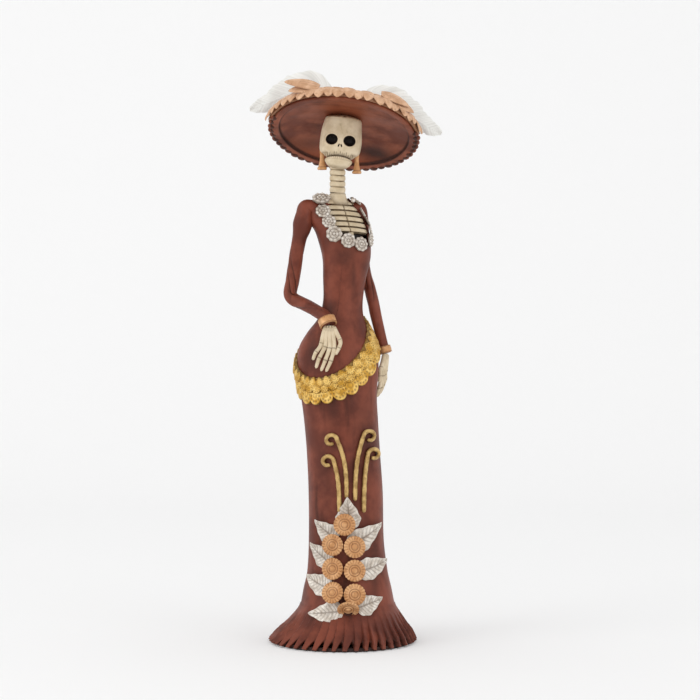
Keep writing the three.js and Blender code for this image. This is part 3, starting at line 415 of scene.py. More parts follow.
# Patches of dark wash on the front, round the tendrils and the leaves and below the right hand: painted shade.
SKIRT_SHADE = [(27, 62, 4, 42, 0.55), (-8, 203, 6, 17, 0.5), (7, 212, 3, 18, 0.42), (-13, 150, 7, 32, 0.3)]
SKIRT_SHADE += [(20, 172, 9, 34, 0.4)]
skirt = shell_of(skirt, WALL)
piece = skin("skirt_shell", [(skirt, painted_shade(skirt, SKIRT_SHADE))], red_acrylic, closed=(True, True))
fix(piece, "figure", "brown_paint", "skirt")

# ---- The hem ----
# A flounce of wet paper laid in knife pleats round the foot of the skirt. Each fold leans the same way, its edge
# stands on the plate, and the paper lifts beside it, so that a dark hollow opens under the next one.
PLEATS = 44
# Down the flounce from 0 to 1, how far it stands out from the dress, and its height.
FLARE = [(0, 0.25, 33), (0.14, 0.9, 28.5), (0.3, 2.8, 23), (0.5, 6.4, 16.5), (0.75, 13.2, 8.6), (1, 18.2, 1.4)]
FLARE = np.array(FLARE)
angle = circle(PLEATS * 18)[None]
down = np.linspace(0, 1, 46)[:, None]
flare = smooth(FLARE, np.broadcast_to(down, (46, angle.size)))
rng = np.random.default_rng(8)
sway = sum(rng.uniform(0.02, 0.07) * np.sin(k * angle + rng.uniform(0, 6)) for k in (3, 5, 8, 13))
phase = PLEATS * angle / (2 * np.pi) + sway + 0.45 * (1 - down) ** 1.5
fold = phase % 1
tall = 0.75 + 0.5 * np.sin(np.floor(phase) * 2.4) ** 2
reach = clamp((down - 0.16) / 0.5) ** 0.8
lap = reach * tall * (3.5 * (1 - fold) ** 1.3 - 1.4) * clamp(fold / 0.1)
mouth = clamp((down - 0.62) / 0.38)
notch = clamp(1 - np.abs(fold - 0.9 + 0.12 * mouth) / (0.06 + 0.3 * mouth)) ** 0.7 * mouth
z = np.maximum(flare[..., 2] + lap * 0.4 + 6 * notch * mouth, 0.9)
out = flare[..., 1] + lap * 0.8 - 8 * notch * mouth
pulled = 3.4 * down**1.5
hem = dress(np.maximum(z, 3.6), angle, out)
hem[..., 0] -= pulled
hem[..., 2] = z
# Wash in the notches, along the edge under each fold and all over the lining is painted shade.
guide = hollows(clamp(notch * 1.3 + 0.5 * reach * clamp((fold - 0.8) / 0.2) + 0.35 * (fold < 0.06) * reach))
lining = dress(np.maximum(z - 1.2, 3.5), angle, out - 1.4)
lining[..., 0] -= pulled
lining[..., 2] = np.maximum(z - 0.8, 0.5)
dark = np.zeros(hem.shape) + [0, 0, 1]
hem = np.concatenate([hem[::-1], lining[::3]])
guide = np.concatenate([guide[::-1], dark[::3]])
piece = skin("hem", [(hem, guide)], red_acrylic, closed=(True, True))
fix(piece, "figure", "brown_paint", "hem_ruffle")

# ---- The bodice ----
# The upper half of the same paper shell, from the seam under the belt to the shoulders, with a round opening cut
# over the ribs. The paint is the skirt's, with painted shade round the opening, on its lip and inner wall, and in
# patches at the waist, under the rosettes and beside the arms.
OPENING_Z, OPENING_HIGH, OPENING_SIDE = 361, 23, np.radians(55)
OPENING_TURN = np.radians(25)
NECK_X, NECK_Y = -4.7, 1

angle = circle(240)
ends = OPENING_SIDE * np.array([-1.001, -0.999, 0.999, 1.001])
angle = np.sort(np.concatenate([angle, (OPENING_TURN + ends) % (2 * np.pi)]))
facing = (angle - OPENING_TURN + np.pi) % (2 * np.pi) - np.pi
inside = np.abs(facing) < OPENING_SIDE
share = np.clip(np.sin(facing) / np.sin(OPENING_SIDE), -1, 1)
top = np.where(inside, OPENING_Z - OPENING_HIGH * np.sqrt(clamp(1 - share**2)), DRESS[-1, 0] - 0.05)
seam = belt_height(angle) - SEAM_DROP + 0.2
up = np.linspace(0, 1, 130)[:, None]
z = seam + (top - seam) * up
bodice = dress(z, angle[None])
swell = wobble(bodice, 45, 0.3, 5)
bodice = dress(z, angle[None], swell)
rim = np.stack([NECK_X + 10 * np.sin(angle), NECK_Y - 5.2 * np.cos(angle), 0 * angle + DRESS[-1, 0] + 0.3], -1)
lip = dress(top + 0.2, angle, -WALL * 0.5)
rim = np.where(inside[:, None], lip, rim)[None]
wall = dress(z, angle[None], -WALL)
# Painted shade: wash in a band under the edge of the opening, on its lip and over the inner wall.
near = bell(z - OPENING_Z + OPENING_HIGH * np.sqrt(clamp(1 - share**2)), 0, 5) * inside
hollow = np.concatenate([0.75 * near, 0.5 + 0 * rim[..., 0], 1 + 0 * wall[::-6, :, 0]])
# Patches of dark wash under the rosettes and beside the arms: painted shade.
BODICE_SHADE = [(3, 331, 9, 9, 0.55), (9, 316, 2.2, 17, 0.5), (-14, 341, 5, 9, 0.45), (-11, 284, 8, 8, 0.6)]
BODICE_SHADE += [(-25, 248, 7, 15, 0.5), (-21, 330, 4, 26, 0.4), (20, 318, 5, 30, 0.35), (-20, 372, 6, 8, 0.5)]
bodice = np.concatenate([bodice, rim, wall[::-6]])
guide = np.maximum(hollows(hollow), painted_shade(bodice, BODICE_SHADE))
piece = skin("bodice_shell", [(bodice, guide)], red_acrylic, closed=(True, True))
fix(piece, "figure", "brown_paint", "bodice")

# ---- The sleeves ----
# Thin arms of paper tape wound round the wire, with folds pressed in on a slant that are deepest at the elbows.
# Points along the middle of each arm from its shoulder to its wrist, and its radius at each.
RIGHT_ARM = [(-18, -8, 370.5), (-25, -9, 372), (-31.6, -10, 372.2), (-33.2, -10.4, 366), (-34.4, -9.8, 358.5)]
RIGHT_ARM += [(-35.4, -9.2, 353), (-37.2, -7.8, 346), (-39.4, -5.2, 335), (-43.2, 1, 311)]
RIGHT_ARM += [(-45.5, 5, 299), (-42, 4, 293.5), (-33, -4, 289.5), (-21.5, -16, 283), (-14.6, -23.6, 278)]
RIGHT_ARM += [(-12, -26.6, 271.5)]
RIGHT_RADII = [4, 6, 6.5, 7.2, 8.3, 7.6, 6.2, 6, 6, 5.7, 5.7, 5.4, 5.4, 5.5, 5.9]
LEFT_ARM = [(1, 8, 371), (8, 10, 372.6), (13.6, 11.5, 372.6), (15.8, 13.6, 366), (17, 17, 347), (17.2, 18, 332)]
LEFT_ARM += [(19.2, 17, 316), (23.9, 15, 301), (28.6, 13, 279.5), (33, 12, 261), (36.9, 11, 247.8)]
LEFT_RADII = [4, 5.4, 5.8, 5.8, 5.7, 5.6, 5.3, 5.1, 4.9, 4.5, 4]


def run_along(points):
    """The way from the first point to each one, along the straight lines between them."""
    return np.concatenate([[0], np.cumsum(np.linalg.norm(np.diff(points, axis=0), axis=1))])


def path(points, count, extras=None):
    """Count points spread evenly by length on a smooth line through the given ones, and other values along it."""
    points = np.asarray(points, float)
    run = np.concatenate([[0], np.cumsum(np.sqrt(np.linalg.norm(np.diff(points, axis=0), axis=1)))])
    extras = [] if extras is None else [np.reshape(extras, (len(points), -1))]
    fine = smooth(np.hstack([run[:, None], points] + extras), np.linspace(0, run[-1], 12 * len(points)))[:, 1:]
    length = run_along(fine[:, :3])
    even = np.linspace(0, length[-1], count)
    return np.stack([np.interp(even, length, fine[:, k]) for k in range(fine.shape[1])], -1)


def tube(line, radius, sides, across=(0, 1, 0), flat=1.0):
    """Rings carried along a line: each has one half axis crosswise to the line and to the direction across, and the
    other, flat times as long, square to both. radius is a number a ring, or one a point."""
    line = np.asarray(line, float)
    way = unit(np.gradient(line, axis=0))
    side = unit(np.cross(np.broadcast_to(across, way.shape), way))
    other = np.cross(way, side)
    turn = circle(sides)[None, :, None]
    radius = np.asarray(radius, float)
    radius = radius[..., None] if radius.ndim == 2 else radius.reshape(-1, 1, 1)
    return line[:, None] + radius * (side[:, None] * np.cos(turn) + flat * other[:, None] * np.sin(turn))


def sleeve(points, radii, elbow, slant, rows=220, sides=96):
    """A tube with creases that run along it on a slant, five to a turn, deepest in a bell about the elbow."""
    line = path(points, rows, radii)
    t = np.linspace(0, 1, rows)[:, None]
    turn = circle(sides)[None]
    depth = (0.12 + bell(t, elbow, 0.2)) * clamp((t - 0.2) / 0.1) * clamp((1 - t) / 0.05)
    phase = (5 * turn / (2 * np.pi) + slant * t * 8 + 0.16 * np.sin(11 * t + 2 + turn)) % 1
    here = depth * (0.55 + 0.45 * np.sin(2 * turn + 17 * t + 2))
    crease = bell(phase, 0.5, 0.085) * here
    radius = line[:, 3:] * (1 + 0.045 * np.cos(2 * np.pi * phase) * here - 0.14 * crease)
    # Wash in the creases and over the end inside the bracelet is painted shade.
    hollow = clamp(1.15 * crease)
    body = tube(line[:, :3], radius, sides)
    tip = np.broadcast_to(line[-1, :3], (1, sides, 3))
    hollow = np.concatenate([hollow, np.ones((1, sides))])
    return np.concatenate([body, tip]), hollows(hollow)


for name, points, radii, elbow, slant in (
    ("right_sleeve", RIGHT_ARM, RIGHT_RADII, 0.6, 1.0),
    ("left_sleeve", LEFT_ARM, LEFT_RADII, 0.5, -0.8),
):
    piece = skin(name + "_tape", [sleeve(points, radii, elbow, slant)], red_acrylic)
    fix(piece, "figure", "brown_paint", name)

# ---- The belt ----
# Embossed paper petals, gilt with gold acrylic and rubbed with umber. A row of teardrop petals hangs from a band
# with two rows of small overlapping scales.
PETALS, SCALES, PETAL_LONG, BELT_RADIUS = 31, 40, 17, 44


def belt(angle, down, out):
    """Points of the belt: down is measured from its slanting top edge along the dress, out from the dress."""
    angle, down, out = np.broadcast_arrays(angle, down, out)
    here = dress(belt_height(angle), angle)
    ahead, behind = (dress(belt_height(a), a) for a in (angle + 0.05, angle - 0.05))
    across = unit(np.cross(dress_normal(here[..., 2], angle), unit(ahead - behind)))
    there = here - across * down[..., None]
    s = smooth(DRESS, there[..., 2])
    turn = np.radians(s[..., 4])
    x, y = there[..., 0] - s[..., 3], there[..., 1]
    x, y = x * np.cos(turn) + y * np.sin(turn), y * np.cos(turn) - x * np.sin(turn)
    return dress(there[..., 2], np.arctan2(x / s[..., 1], -y / s[..., 2]), out)


def petal(rings, sides):
    """A teardrop with its round end down, as rings from its back edge over its rim to its middle. Returns places
    across and down from -1 to 1, the height from 0 to 1, with a raised rim, a raised inner teardrop and a bead,
    and how deep the hollows between them are."""
    rho = np.concatenate([[1.0], np.linspace(1, 0, rings)])[:, None]
    turn = circle(sides)[None]
    narrow = 1 - 0.5 * clamp(-np.cos(turn)) ** 1.2
    x, y = rho * np.sin(turn) * narrow, -rho * np.cos(turn)
    bump = lambda middle, wide: bell(rho, middle, wide)
    height = 0.45 + 0.3 * np.sqrt(1 - np.minimum(rho, 1) ** 2) + 0.28 * bump(0.88, 0.08) + 0.22 * bump(0.5, 0.09)
    height = height + 0.25 * bump(0, 0.16) + 0.13 * np.cos(11 * turn) * bump(0.68, 0.12)
    height = height * np.concatenate([[0], np.ones(rings)])[:, None]
    hollow = clamp((0.5 - 0.6 * np.cos(11 * turn)) * bump(0.69, 0.1) + 0.45 * bump(0.3, 0.07))
    # The edge wall where the petal rises from the band is dark: painted shade under its rim.
    hollow = np.where(rho >= 1, 0.9, hollow) + 0 * turn
    return x, y, height + 0 * turn, hollow


def belt_row(count, rings, sides, half_wide, half_long, middle, base, thick, shift=0.0, seed=1):
    """A row of petals round the belt: each is turned and sized a little by chance."""
    rng = np.random.default_rng(seed)
    x, y, height, hollow = petal(rings, sides)
    at = (np.arange(count) + shift)[:, None, None] * 2 * np.pi / count
    size = rng.uniform(0.94, 1.07, (count, 1, 1))
    lean = rng.uniform(-0.12, 0.12, (count, 1, 1))
    lift = rng.uniform(0, 0.5, (count, 1, 1))
    angle = at + size * (x * half_wide - lean * y * half_long) / BELT_RADIUS
    down = middle - size * (y * half_long + lean * x * half_wide)
    tilt = np.clip(-y, -1, 1) * 0.5
    points = belt(angle, down, base + (height * thick + lift + tilt) * (height > 0) - 0.6 * (height <= 0))
    hollow = np.broadcast_to(hollow, points.shape[:-1])
    return points, hollows(hollow)


def gilt(name, light, dark, wash, patch=7, metal=0.55, rough=0.42, stroke=(2.5, 2.5, 5)):
    """Metallic acrylic rubbed with umber: see brushed_paint."""
    return brushed_paint(name, light, dark, wash, patch, stroke, rough, metal, washing=(0.56, 0.78), relief=0.08)


# Gold acrylic over embossed paper: a warm soft gleam on the raised parts, umber in the hollows.
gold_acrylic = gilt("gold_acrylic", "#f2cb74", "#c8952f", "#5f3f12")
angle = circle(228)
down = np.array([0.0, 0.3, 2, 8, 12, 12.3, 8, 2])[:, None]
out = np.array([0.2, 1.5, 2.0, 2.0, 1.6, 0.2, 0.1, 0.1])[:, None]
band = belt(angle[None], down, out)[::-1]
# The band lies under the petals and is dark all over: painted shade.
piece = skin("belt_band", [(band, [0, 0, 0.8])], gold_acrylic, closed=(True, True))
fix(piece, "figure", "gold_paint", "belt")
rows = [
    belt_row(PETALS, 11, 44, 5.2, PETAL_LONG / 2, 6.1 + PETAL_LONG / 2, 0.5, 2.4, 0.1, 4),
    belt_row(SCALES, 8, 22, 4.1, 4.9, 8.2, 1.4, 2.0, 0.5, 5),
    belt_row(SCALES, 8, 22, 4.0, 4.4, 3.7, 1.7, 1.9, 0.0, 6),
]
piece = skin("belt_petals", rows, gold_acrylic, crease=70)
fix(piece, "figure", "gold_paint", "belt")

# ---- The bracelets ----
# A strip of card round each wrist, with rolled edges, in copper acrylic.
copper_acrylic = gilt("copper_acrylic", "#dcab7a", "#c18b59", "#744422", metal=0.35, rough=0.48)


def bracelet(end, before, inner, wide):
    """A ring about the last stretch of an arm: its section is a bead at each edge and a shallow crown between."""
    end, way = np.array(end, float), unit(np.array(end, float) - np.array(before, float))
    t = np.linspace(-1, 1, 15)
    face = 1.15 + 0.35 * (1 - t**2) + 0.35 * bell(np.abs(t), 0.85, 0.12) - 0.7 * (np.abs(t) > 0.99)
    radius = inner + np.concatenate([face, [0, 0]])
    along = np.concatenate([t, [0.9, -0.9]]) * wide / 2 + 0.4 - wide / 2
    line = end + along[:, None] * way
    side = unit(np.cross([0, 1, 0], way))
    other = np.cross(way, side)
    turn = circle(56)[None, :, None]
    ring = line[:, None] + radius[:, None, None] * (side * np.cos(turn) + other * np.sin(turn))
    return ring + 0.15 * wobble(ring, 9, 1, 4)[..., None] * side


for name, arm, inner, wide in (("right_bracelet", RIGHT_ARM, 6.1, 7.2), ("left_bracelet", LEFT_ARM, 4.3, 6.4)):
    ring = bracelet(arm[-1], arm[-2], inner, wide)
    # The inside of the strip, its last two rows, is dark: painted shade.
    hollow = np.array([0.2] + [0.6, 0.5] + [0] * 9 + [0.5, 0.6, 0.2] + [1, 1])[:, None] + 0 * ring[..., 0]
    guide = hollows(hollow)
    piece = skin(name + "_strip", [(ring, guide)], copper_acrylic, closed=(True, True))
    fix(piece, "figure", "copper_paint", name)

# ---- The hands ----
# Modelled in paper pulp over the wire ends: four long palm bones that fan out from the wrist, fingers with a swelling
# at each joint, and umber wash between them. Finger bones run across, towards the palm, and down from the wrist.
FINGERS = (
    ((-2.6, 0, -1), (-5, 0, -9), (-7, -0.2, -17), (-11.4, -0.6, -23.5), (-13.6, 0, -29.5)),
    ((-1, 0, -1), (-2.4, 0, -9), (-3.4, -0.6, -18), (-8.3, -1.4, -28), (-11, -0.8, -36.5)),
    ((0.8, 0, -1), (0.6, 0, -9), (0.6, -0.8, -18.5), (-3, -1.8, -29.5), (-6.8, -1.2, -39)),
    ((2.6, 0, -1), (3.6, 0, -9), (4.4, -0.4, -18), (2, -1.6, -29), (-2.6, -1.2, -39.5)),
    ((3.4, 0, -1), (5.2, 0, -4), (9.6, -0.2, -13.5), (8.6, -0.6, -18.5), (5.4, -0.8, -25)),
)
# Bone-white acrylic: matt cream over paper pulp, with umber wash left in every groove.
bone_acrylic = brushed_paint(
    "bone_acrylic", "#dccbae", "#cab797", "#5d452c", 9, (4, 4, 7), 0.6, washing=(0.62, 0.95), relief=0.1, shine=0.35
)


def finger(bones):
    """A tube along the bones whose radius swells at each joint and narrows to a round tip."""
    line = path(bones, 44)
    run = np.linspace(0, 1, len(line))
    joints = np.array([0.47, 0.74]) if len(bones) == 5 else np.array([0.6])
    swell = sum(bell(run, j, 0.035) for j in joints)
    ring_line = sum(bell(run, j, 0.012) for j in joints)
    radius = (2.15 - 0.75 * run + 0.35 * swell - 0.3 * ring_line) * np.sqrt(clamp((1 - run) / 0.05))
    radius = radius * np.sqrt(clamp(run / 0.03))
    points = tube(line, radius, 16)
    hollow = np.broadcast_to((0.85 * ring_line + 0.15 * (run < 0.1))[:, None], points.shape[:-1])
    return points, hollows(hollow)


def palm():
    """A flat loft from the wrist to the knuckles: half widths by height, with hollows between the palm bones."""
    t = np.pad(np.linspace(0, 1, 30), 1, mode="edge")[:, None]
    full = np.pad(np.ones(30), 1)[:, None]
    turn = circle(64)[None]
    half = np.interp(t, [0, 0.33, 0.66, 1], [4.4, 5.4, 6.6, 6.4]) * full
    x = -half * np.sin(turn)
    spread = x / np.maximum(half, 1)
    valley = 0.5 - 0.5 * np.cos(2 * np.pi * (spread * 1.9 + 0.5))
    y = -(1.9 * full * np.cos(turn)) * (1 - 0.38 * valley)
    points = np.stack([x - t, y, -18 * t - 0.2 + 0 * x], -1)
    hollow = clamp(valley - 0.45) * 1.5 * (np.abs(np.cos(turn)) > 0.25)
    return points[::-1], hollows(hollow)[::-1]


def hand(arm, side, turn, lean, curl):
    """The palm and the fingers, mirrored to their side, hung from the wrist: curled by that many mm towards the
    inside of the hand, leant, then turned about z."""
    end, before = np.array(arm[-1], float), np.array(arm[-2], float)
    place = end + unit(end - before) * 0.5
    turn, lean = np.radians(turn), np.radians(lean)
    patches = []
    for points, guide in [palm()] + [finger(bones) for bones in FINGERS]:
        x, y, z = points[..., 0] * side, points[..., 1] + curl * (points[..., 2] / 40) ** 2, points[..., 2]
        y, z = y * np.cos(lean) - z * np.sin(lean), y * np.sin(lean) + z * np.cos(lean)
        x, y = x * np.cos(turn) - y * np.sin(turn), x * np.sin(turn) + y * np.cos(turn)
        points = np.stack([x, y, z], -1) + place
        patches.append((points[:, ::-1], guide[:, ::-1]) if side < 0 else (points, guide))
    return patches


for name, arm, side, turn, lean, curl in (
    ("right_hand", RIGHT_ARM, 1, 0, -6, 0),
    ("left_hand", LEFT_ARM, -1, 72, 4, 9),
):
    piece = skin(name + "_bones", hand(arm, side, turn, lean, curl), bone_acrylic)
    fix(piece, "figure", "bone_paint", name)

# ---- The rib cage and the collar ----
# Five ribs in relief on a curved board behind the opening, split by a slanting line, with the tip of the breastbone
# under them. The collar is the foot of the neck, which stays with the figure when the head turns.
RIB_LOW, RIB_HIGH, RIBS, RIB_FACE = 350.8, 374.8, 5, -2.9
angle = np.radians(np.linspace(-84, 108, 190))[None]
z = np.linspace(RIB_LOW - 15, RIB_HIGH + 4.6, 200)[:, None] + 0 * angle
at = dress(z, angle)
x = at[..., 0] - 3 - 0.26 * (370 - z)
pitch = (RIB_HIGH - RIB_LOW) / RIBS
droop = 0.0025 * x**2 + 0.03 * x
level = (z + droop - RIB_LOW) / pitch
band = np.abs(level % 1 - 0.5) * 2
inside_ribs = (level > 0) & (level < RIBS + 0.6)
gap = clamp((band - 0.66) / 0.34) ** 0.6 * inside_ribs
split = bell(x, 0, 0.5) * inside_ribs
under = clamp((RIB_LOW - z - droop) / 1.2)
tip = np.exp(-(((x - 0.5) / 3) ** 4)) * (z > RIB_LOW - 7)
pit = under * (1 - tip)
rise = 0.9 * np.sqrt(clamp(1 - band**2)) * inside_ribs
deep = 2.0 * gap + 0.9 * split * (1 - gap) + 3.2 * pit
ribs = dress(z, angle, RIB_FACE + rise - deep)
back = dress(z, angle, RIB_FACE - 5.5)
# Painted shade: wash in the gaps between the ribs, near black in the holes under them, darker where the board runs in
# under the dress, and over its whole back.
hollow = clamp(gap * 1.4 * (0.55 + 0.45 * clamp(np.abs(x) / 4)) + split) + 1.8 * pit
hollow = np.maximum(hollow, np.clip((np.abs(np.degrees(angle) - 24) - 62) / 10, 0, 0.9) + 0 * hollow)
guide = hollows(hollow)
board = np.concatenate([ribs, back[::-20]])
guide = np.concatenate([guide, np.zeros(back[::-20].shape) + [0, 0, 1]])
board, guide = (capped(np.swapaxes(v, 0, 1)).swapaxes(0, 1) for v in (board, guide))
piece = skin("ribs", [(board, guide)], bone_acrylic, closed=(True, False), crease=80)
fix(piece, "figure", "bone_paint", "rib_cage")


def around(r, angle, z):
    """Points at a radius and a height, at angles that count from -y towards +x."""
    return np.stack(np.broadcast_arrays(r * np.sin(angle), -r * np.cos(angle), z), -1)


def lathe(profile, sides, x=0.0, y=0.0):
    """A profile of radius and height, from its foot up, turned about an upright axis."""
    r, z = np.asarray(profile, float).T[:, :, None]
    return around(r, circle(sides)[None], z) + [x, y, 0]


# Radius, height and hollow from under its foot up and down into the bore of the peg.
COLLAR = [(0, 356, 0), (4, 356, 0), (4, 373.5, 0), (9.5, 374.6, 0.9), (9.6, 375.6, 0.6), (9.0, 377.6, 0.15)]
COLLAR += [(8.0, 380.2, 0), (7.2, 383, 0), (6.9, 384.6, 0.35), (6.3, 385, 0.9), (2.4, 385, 1), (2.3, 368, 1)]
COLLAR += [(0, 368, 1)]
COLLAR = np.array(COLLAR)
body = lathe(COLLAR[:, :2], 64, NECK_X, NECK_Y)
body = body + (wobble(body, 8, 0.25, 6) * (COLLAR[:, 0] > 3)[:, None])[..., None] * unit(body - [NECK_X, NECK_Y, 380])
# The hollow darkens the underside of the flange, the seat under the neck and the bore: painted shade.
hollow = COLLAR[:, 2:] + 0 * body[..., 0]
piece = skin("collar_foot", [(body, hollows(hollow))], bone_acrylic, crease=60)
fix(piece, "figure", "bone_paint", "collar")

# ---- The rosettes ----
# A garland of embossed paper rosettes glued round the opening, in silver acrylic rubbed with umber. Those over the
# right shoulder and at the front are the largest.
# The x and z of each, from over her right shoulder round to her left one, its radius and how far it leans back.
ROSETTES = [(-18.5, 378.6, 7.6, 0.2), (-17, 368.4, 6.3, 0.1), (-12, 359.5, 5.9, 0), (-7.2, 349, 6.8, -0.1)]
ROSETTES += [(4.2, 343.4, 6.3, 0), (14.6, 340.6, 6.2, 0), (22.6, 344.5, 5.4, 0), (30, 352.5, 4.6, 0)]
ROSETTES += [(30, 360.5, 4.6, 0), (30, 368.6, 4.6, 0), (10.8, 377.6, 5.4, 0.2)]
silver_acrylic = gilt("silver_acrylic", "#e6dfd5", "#c2b6a8", "#6b5a4b", patch=5, metal=0.3, rough=0.45)


def rosette(radius, rings=18, sides=60):
    """A disc with a ruffled rim, two rounds of petals that are cosines round it, and a bead, as rings inwards."""
    rho = np.concatenate([[1.0], np.linspace(1, 0, rings)])[:, None]
    turn = circle(sides)[None]
    bump = lambda middle, wide: bell(rho, middle, wide)
    outer, inner = np.cos(9 * turn), np.cos(6 * turn + 0.6)
    height = 1.1 + 0.9 * bump(0.78, 0.16) * (1 + 0.55 * outer) + 0.9 * bump(0.42, 0.13) * (1 + 0.5 * inner)
    height = (height + 1.2 * bump(0, 0.13)) * np.concatenate([[0], np.ones(rings)])[:, None]
    reach = radius * rho * (1 + 0.05 * outer * rho)
    hollow = bump(0.6, 0.07) + bump(0.22, 0.06) - 0.75 * outer * bump(0.8, 0.14) - 0.6 * inner * bump(0.42, 0.1)
    # The edge wall down to the dress is dark: painted shade under the rim.
    hollow = np.where(rho >= 1, 0.8, clamp(hollow))
    return reach * np.cos(turn), reach * np.sin(turn), height * radius / 6, hollow


def on_dress(z, angle, x, y, h, tilt=(0.0, 0.0)):
    """Local places (x round the dress, y up it, h out of it) about one point of the dress, tilted by two slopes."""
    out = dress_normal(np.float64(z), np.float64(angle))
    side = unit(np.cross([0, 0, 1], out))
    rise = np.cross(out, side)
    h = h + tilt[0] * x + tilt[1] * y
    return dress(z, angle) + x[..., None] * side + y[..., None] * rise + h[..., None] * out


patches = []
front = np.radians(np.linspace(-80, 110, 120))
for i, (place, z, radius, back) in enumerate(ROSETTES):
    x, y, h, hollow = rosette(radius)
    row = dress(z, front)[:, 0]
    low, high = row.argmin(), row.argmax()
    angle = np.interp(place, row[low : high + 1], front[low : high + 1])
    points = on_dress(z, angle, x, y, h + 0.7, tilt=(0.1 * np.sin(3 * i), 0.1 * np.cos(2 * i) - back))
    patches.append((points, hollows(hollow)))
ball_turn = circle(16)[None]
ball_up = np.linspace(-np.pi / 2, np.pi / 2, 10)[:, None]
ball = [np.cos(ball_up) * np.sin(ball_turn), -np.cos(ball_up) * np.cos(ball_turn), np.sin(ball_up) + 0 * ball_turn]
ball = np.stack(ball, -1)
patches += [(ball * 1.9 + place, 0) for place in ((-13, -9.4, 379), (8.6, -4.8, 378.6))]
piece = skin("rosettes", patches, silver_acrylic, crease=75)
fix(piece, "figure", "silver_paint", *[f"rosette_{i:02d}" for i in range(1, 12)])

# ---- The silver leaves ----
# Leaves cut from thick embossed paper, in silver acrylic with umber in their veins. Each is glued down by its root
# and stands off the skirt towards its curling tip. Tip and root are given by x and z on the skirt, then the width.
LEAVES = (
    ((4.9, 126.8), (4, 99), 1.15),
    ((-25, 106), (-5, 90), 1.0),
    ((34, 103.4), (5, 84), 1.1),
    ((-29, 86.3), (-10, 70), 1.0),
    ((38.4, 71.8), (12, 63), 1.05),
    ((-32, 58.7), (-10, 49), 1.0),
    ((34.4, 41), (11, 34), 0.95),
    ((-30.4, 27.4), (0, 32), 1.0),
)
LEAF_WIDE = 18.5


def two_sided(columns):
    """Places across a blade from -1 to 1 over its face and back under it, and 1 over the face and 0 under it."""
    face = np.linspace(-1, 1, columns)
    return np.concatenate([face, face[::-1]])[None], np.repeat([1.0, 0.0], columns)[None]


def leaf_form(veins=10, rows=46, columns=30):
    """A leaf from its root (run 0) to its tip (run 1): half width by run, with shoulders a third of the way and a
    hollow-sided point; across goes from -1 to 1 over its face and back under it. Height has a sunk midrib and side
    veins that slant forwards, and the hollow of each vein is returned with it."""
    run = np.linspace(0, 1, rows)[:, None]
    half = np.sin(np.pi * run**0.6) ** 0.8 * (1 - 0.45 * run**2) * (1 + 0.05 * np.sin(run * 22))
    across, upper = two_sided(columns)
    vein = (run * veins - np.abs(across) * 1.7) % 1
    groove = bell(vein, 0.5, 0.13) * (np.abs(across) > 0.06)
    rib = bell(across, 0, 0.07)
    height = 0.9 * (1 - across**2) ** 0.6 - 0.5 * rib - 0.28 * groove * (1 - across**2)
    # The back of the leaf gets a little wash: painted shade under it.
    hollow = clamp(0.75 * groove * (1 - across**4) + 0.9 * rib) * upper + 0.15 * (1 - upper)
    return run, half * across, height * upper * clamp(half * 3), hollow, across


patches = []
for i, (tip, root, wide) in enumerate(LEAVES):
    run, side, height, hollow, across = leaf_form()
    s, e = smooth(DRESS, root[1]), smooth(DRESS, tip[1])
    start = np.arcsin((root[0] - s[3]) / (s[1] + 1))
    stop = np.arcsin(np.clip((tip[0] - e[3]) / (e[1] + 4.5), -1, 1))
    way = np.array([(stop - start) * s[1], tip[1] - root[1]])
    long = np.hypot(*way)
    way = way / long
    flip = 1 if way[0] < 0 else -1
    side = side * LEAF_WIDE * wide / 2 + 2.2 * flip * run**2 - 1.1 * flip * run
    u = start + (way[0] * run * long + way[1] * side) / s[1]
    v = root[1] + way[1] * run * long - way[0] * side
    curl = 4.2 * run**2.2 - 1.3 * clamp((run - 0.86) / 0.14) ** 2 + 0.9 * across**2 * np.sin(np.pi * run)
    points = dress(v, u, 1.0 + curl + height + 0.35 * np.sin(across * 4 + run * 9 + i) * np.sin(np.pi * run))
    guide = hollows(hollow)
    patches.append((points, guide))
piece = skin("silver_leaves", patches, silver_acrylic, crease=80)
fix(piece, "figure", "silver_paint", *[f"leaf_{i}" for i in range(1, 9)])

# ---- The copper flowers ----
# Eight embossed flower heads on cone-shaped stalks, in two columns up the front. The lowest one hangs tilted down
# under the others. The stalks are painted like the skirt.
FLOWER_RADIUS, STAND, FLOWER_LOW, FLOWER_X = 9.4, 8.5, 44.6, 0.5
pitch, column = 2 * FLOWER_RADIUS + 1.6, FLOWER_RADIUS + 0.2
flower_places = [(FLOWER_X + 0.9, FLOWER_LOW + 2 * pitch + 1.95 * FLOWER_RADIUS, STAND, 0.05)]
for row in (2, 1, 0):
    flower_places.append((FLOWER_X - column, FLOWER_LOW + row * pitch + 0.8, STAND, 0.12 - 0.1 * row))
    flower_places.append((FLOWER_X + column, FLOWER_LOW + row * pitch - 0.8, STAND, 0.09 * row - 0.1))
flower_places.append((FLOWER_X + 4, FLOWER_LOW - 1.45 * FLOWER_RADIUS, STAND - 3, -2))


